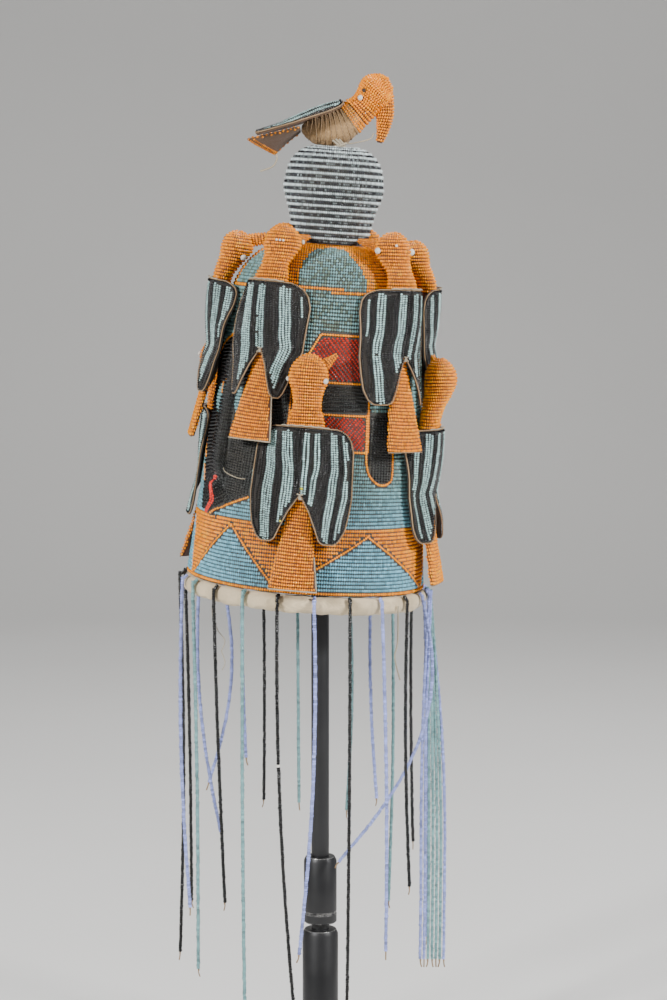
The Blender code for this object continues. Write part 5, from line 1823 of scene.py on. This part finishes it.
def string_route(azimuth, length, drift, back, bow):
    """Points of one hanging string: over the roll, then down with its drift and bow."""
    wrap = ROLL_THICKNESS / 2 + GAP + STRING_DIAMETER / 2
    turn = math.radians(azimuth - 90)
    points = []
    for angle in (STRING_START, STRING_START / 2, 0):
        radius = RIM_RADIUS - ROLL_INSET + wrap * math.cos(math.radians(angle))
        height = -GAP - ROLL_THICKNESS / 2 + wrap * math.sin(math.radians(angle))
        points.append(CROWN @ Vector((radius * math.cos(turn), radius * math.sin(turn), height)))
    start = points[-1]
    hanging = length - wrap * math.radians(STRING_START)
    for i in range(1, 6):
        share = i / 5
        sway = drift * share**1.8 + bow * math.sin(math.pi * share)
        fall = hanging * share * (0.93 if abs(drift) > 0.05 else 1)
        points.append(start + Vector((sway, back * share**1.5, -fall)))
    return np.array([p[:] for p in points])


def strung(name, lines, tints, slot, node, seed, thickness=STRING_DIAMETER + 0.0004):
    """Strings of whole beads on their thread, each ending in a knot with a loose end."""
    beads, threads, ends = Beads(), [], []
    for line, tint in zip(lines, tints):
        fine = smooth_line(line, 14)
        index = even_places(fine, STRING_PITCH)
        centres = read_at(fine, index)
        ahead = unit(read_at(np.gradient(fine, axis=0), index))
        aside = unit(np.cross(ahead, (0.3, 1.0, 0.2)))
        bead_tints = np.tile(tint, (len(centres), 1))
        if name == WHITE_BEAD[0]:
            bead_tints[np.abs(centres[:, 2] - WHITE_BEAD[1]).argmin()] = colour("white")
        beads.add(centres, ahead, aside, STRING_PITCH * SHELL_FILL, thickness, bead_tints)
        threads.append(fine)
        down = unit(fine[-1] - fine[-2])
        sway = np.array([math.sin(seed * 2.3 + len(ends)), math.cos(seed * 1.7), 0.0])
        drop = (0.0, 0.0012, 0.0030, 0.0055, 0.0080)
        ends.append(np.array([fine[-1] + down * far + sway * far * far * 26 for far in drop]))
        ends.append(np.array([fine[-1] + down * far + sway * 0.0006 for far in (0.0001, 0.0010, 0.0020)]))
    piece = bead_piece(name + "_beads", beads.table(), Matrix(), whole=True, seed=seed)
    settle(piece, slot, node)
    settle(cord_piece(name + "_thread", threads, 0.0009, "dark_thread", sides=0), slot)
    settle(cord_piece(name + "_end", ends, 0.0013, "tan_cord", sides=0), slot)


class CROWN_OT_veil(bpy.types.Operator):
    """Make the strings of beads that hang from the roll"""

    bl_idname = "crown.veil"
    bl_label = "Veil of strings"

    def execute(self, context):
        for number, (tint, *route) in enumerate(STRINGS, start=1):
            node = "veil_string_%02d" % number
            strung(node, [string_route(*route)], [colour(tint)], tint + "_beads", node, 200 + number)
        tints = [colour(tint) for tint in BUNDLE_COLOURS]
        strung("veil_bundle", self.bundle(), tints, "lavender_beads", "veil_bundle", 230, thickness=0.0034)
        return {"FINISHED"}

    def bundle(self):
        """Lines of the bundle's strings, side by side along the rim and then facing the viewer."""
        route = string_route(*BUNDLE)
        turn = math.radians(BUNDLE[0] - 90)
        round_rim = np.array([-math.sin(turn), math.cos(turn), 0])
        lines = []
        for k in range(len(BUNDLE_COLOURS)):
            line = []
            for i, point in enumerate(route):
                spread, faced = min(max(i - 2, 0) / 3, 1.0), min(max(i - 2, 0) / 2, 1.0)
                side = unit(round_rim * (1 - faced) + np.array([1.0, 0, 0]) * faced)
                half = BUNDLE_WIDTH / 2 * (BUNDLE_START + (1 - BUNDLE_START) * spread) - BUNDLE_HALF
                step = BUNDLE_HALF * (k % 2) - 0.0002
                outward = np.cross(side, (0, 0, 1)) * step * (1 - 0.7 * spread)
                line.append(point + side * half * (k - 3) / 3 + outward)
            lines.append(np.array(line))
        return lines


class CROWN_OT_stand(bpy.types.Operator):
    """Make the black post stand"""

    bl_idname = "crown.stand"
    bl_label = "Stand"

    def execute(self, context):
        edge, bore, foot = CHAMFER, POST_RADIUS + GAP, BASE_THICKNESS + GAP
        self.turned("stand_base_plate", "stand_base", 128, [
            (0, BASE_THICKNESS), (BASE_RADIUS - edge, BASE_THICKNESS), (BASE_RADIUS, BASE_THICKNESS - edge),
            (BASE_RADIUS, 0.0008), (BASE_RADIUS - 0.0008, 0), (0, 0),
        ])
        self.turned("stand_lower_tube", "stand_tube", 64, [
            (bore, TUBE_TOP), (TUBE_RADIUS - edge, TUBE_TOP), (TUBE_RADIUS, TUBE_TOP - 2 * edge),
            (TUBE_RADIUS, foot), (bore, foot),
        ])
        groove, waist = COLLAR_BOTTOM + 0.010, COLLAR_RADIUS - 0.0008
        self.turned("stand_clamp_collar", "stand_collar", 64, [
            (bore, COLLAR_TOP), (COLLAR_RADIUS - edge, COLLAR_TOP), (COLLAR_RADIUS, COLLAR_TOP - 2 * edge),
            (COLLAR_RADIUS, groove + 0.0012), (waist, groove + 0.0004), (waist, groove - 0.0004),
            (COLLAR_RADIUS, groove - 0.0012), (COLLAR_RADIUS, COLLAR_BOTTOM + 0.001),
            (COLLAR_RADIUS - 0.001, COLLAR_BOTTOM), (bore, COLLAR_BOTTOM),
        ])
        self.turned("stand_upright", "stand_post", 48, self.post())
        return {"FINISHED"}

    def turned(self, name, node, steps, profile):
        settle(sharpen(spun(name, profile, steps, "black_steel")), "black_steel", node)

    def post(self):
        """The post's profile: a round cap that meets the leaning crown's top from inside, and the rod."""
        ceiling = CROWN @ Vector((0, 0, CROWN_HEIGHT - WALL))
        up = CROWN.to_3x3() @ Vector((0, 0, 1))
        level = ceiling.z + ceiling.x * up.x / up.z
        centre = level - (POST_CAP_RADIUS + GAP) / up.z
        post = [(0, centre + POST_CAP_RADIUS)]
        for angle in range(80, -61, -10):
            turn = math.radians(angle)
            post.append((POST_CAP_RADIUS * math.cos(turn), centre + POST_CAP_RADIUS * math.sin(turn)))
        neck = math.acos(POST_RADIUS / POST_CAP_RADIUS)
        post.append((POST_RADIUS, centre - POST_CAP_RADIUS * math.sin(neck)))
        return post + [(POST_RADIUS, BASE_THICKNESS + GAP), (0, BASE_THICKNESS + GAP)]


class CROWN_OT_stage(bpy.types.Operator):
    """Set up the camera, the pale floor and the soft lights"""

    bl_idname = "crown.stage"
    bl_label = "Stage"

    def execute(self, context):
        self.floor()
        self.lights(context)
        self.camera(context)
        return {"FINISHED"}

    def floor(self):
        """A plane whose back edge is drawn up, with a round bend."""
        deselect()
        bpy.ops.mesh.primitive_plane_add(size=FLOOR_SIZE, location=(0, FLOOR_MIDDLE, 0))
        floor = named("stage_floor")
        bpy.ops.object.transform_apply(location=True, rotation=False, scale=False)
        set_mode("EDIT")
        self.select_back(floor)
        bpy.ops.mesh.extrude_edges_move(TRANSFORM_OT_translate={"value": (0, 0, BACKDROP_HEIGHT)})
        self.select_back(floor)
        bpy.ops.mesh.bevel(offset=BACKDROP_CURVE, segments=16, affect="EDGES")
        set_mode("OBJECT")
        floor.data.shade_smooth()
        coated(floor, "pale_floor")

    @staticmethod
    def select_back(floor):
        """Selects the floor's back edge alone."""
        shape = bmesh.from_edit_mesh(floor.data)
        for vertex in shape.verts:
            vertex.select_set(False)
        for edge in shape.edges:
            edge.select_set(all(v.co.y > 2 and v.co.z < 0.1 for v in edge.verts))
        bmesh.update_edit_mesh(floor.data)

    def lights(self, context):
        for name, place, size, power in LAMPS:
            lamp = bpy.data.lights.new(name, "AREA")
            lamp.shape = "DISK"
            lamp.size = size
            lamp.energy = power
            obj = added(name, lamp)
            obj.location = place
            obj.rotation_euler = (Vector(LAMPS_AIM) - Vector(place)).to_track_quat("-Z", "Y").to_euler()
        world = context.scene.world or bpy.data.worlds.new("studio")
        context.scene.world = world
        world.use_nodes = True
        tree = world.node_tree
        sky = tree.nodes["Background"]
        sky.inputs["Color"].default_value = SKY_COLOUR
        # the sky lights the crown softly and looks as pale as the floor
        path = new_node(tree, "LightPath")
        strength = new_node(tree, "MapRange", To_Min=SKY_LIGHT, To_Max=SKY_SEEN)
        link(path.outputs["Is Camera Ray"], strength.inputs["Value"])
        link(strength.outputs["Result"], sky.inputs["Strength"])

    def camera(self, context):
        lens = bpy.data.cameras.new("photo_camera")
        lens.sensor_fit = "VERTICAL"
        lens.sensor_height = FILM_HEIGHT
        lens.lens = CAMERA_LENS
        view = added("photo_camera", lens)
        view.location = CAMERA_PLACE
        view.rotation_euler = (math.radians(90 - CAMERA_TILT), 0, 0)
        context.scene.camera = view


class CROWN_PT_panel(bpy.types.Panel):
    """Lists the crown's pieces"""

    bl_idname = "CROWN_PT_panel"
    bl_label = "Beaded crown"
    bl_space_type = "VIEW_3D"
    bl_region_type = "UI"
    bl_category = "Crown"

    def draw(self, context):
        layout = self.layout
        for group in (context.scene.crown_sizes, context.scene.crown_colours):
            column = layout.column()
            for name in group.__annotations__:
                column.prop(group, name)
        for operator in OPERATORS:
            layout.operator(operator.bl_idname)


OPERATORS = (
    CROWN_OT_shell,
    CROWN_OT_roll,
    CROWN_OT_finial,
    CROWN_OT_birds,
    CROWN_OT_top_bird,
    CROWN_OT_veil,
    CROWN_OT_stand,
    CROWN_OT_stage,
)
CLASSES = (CrownSizes, CrownColours, *OPERATORS, CROWN_PT_panel)


def register():
    for item in CLASSES:
        bpy.utils.register_class(item)
    bpy.types.Scene.crown_sizes = PointerProperty(type=CrownSizes)
    bpy.types.Scene.crown_colours = PointerProperty(type=CrownColours)


def unregister():
    del bpy.types.Scene.crown_colours
    del bpy.types.Scene.crown_sizes
    for item in reversed(CLASSES):
        bpy.utils.unregister_class(item)


def main():
    register()
    make_materials()
    bpy.ops.crown.shell()
    bpy.ops.crown.roll()
    bpy.ops.crown.finial()
    bpy.ops.crown.birds()
    bpy.ops.crown.top_bird()
    bpy.ops.crown.veil()
    bpy.ops.crown.stand()
    bpy.ops.crown.stage()


if __name__ == "__main__":
    main()
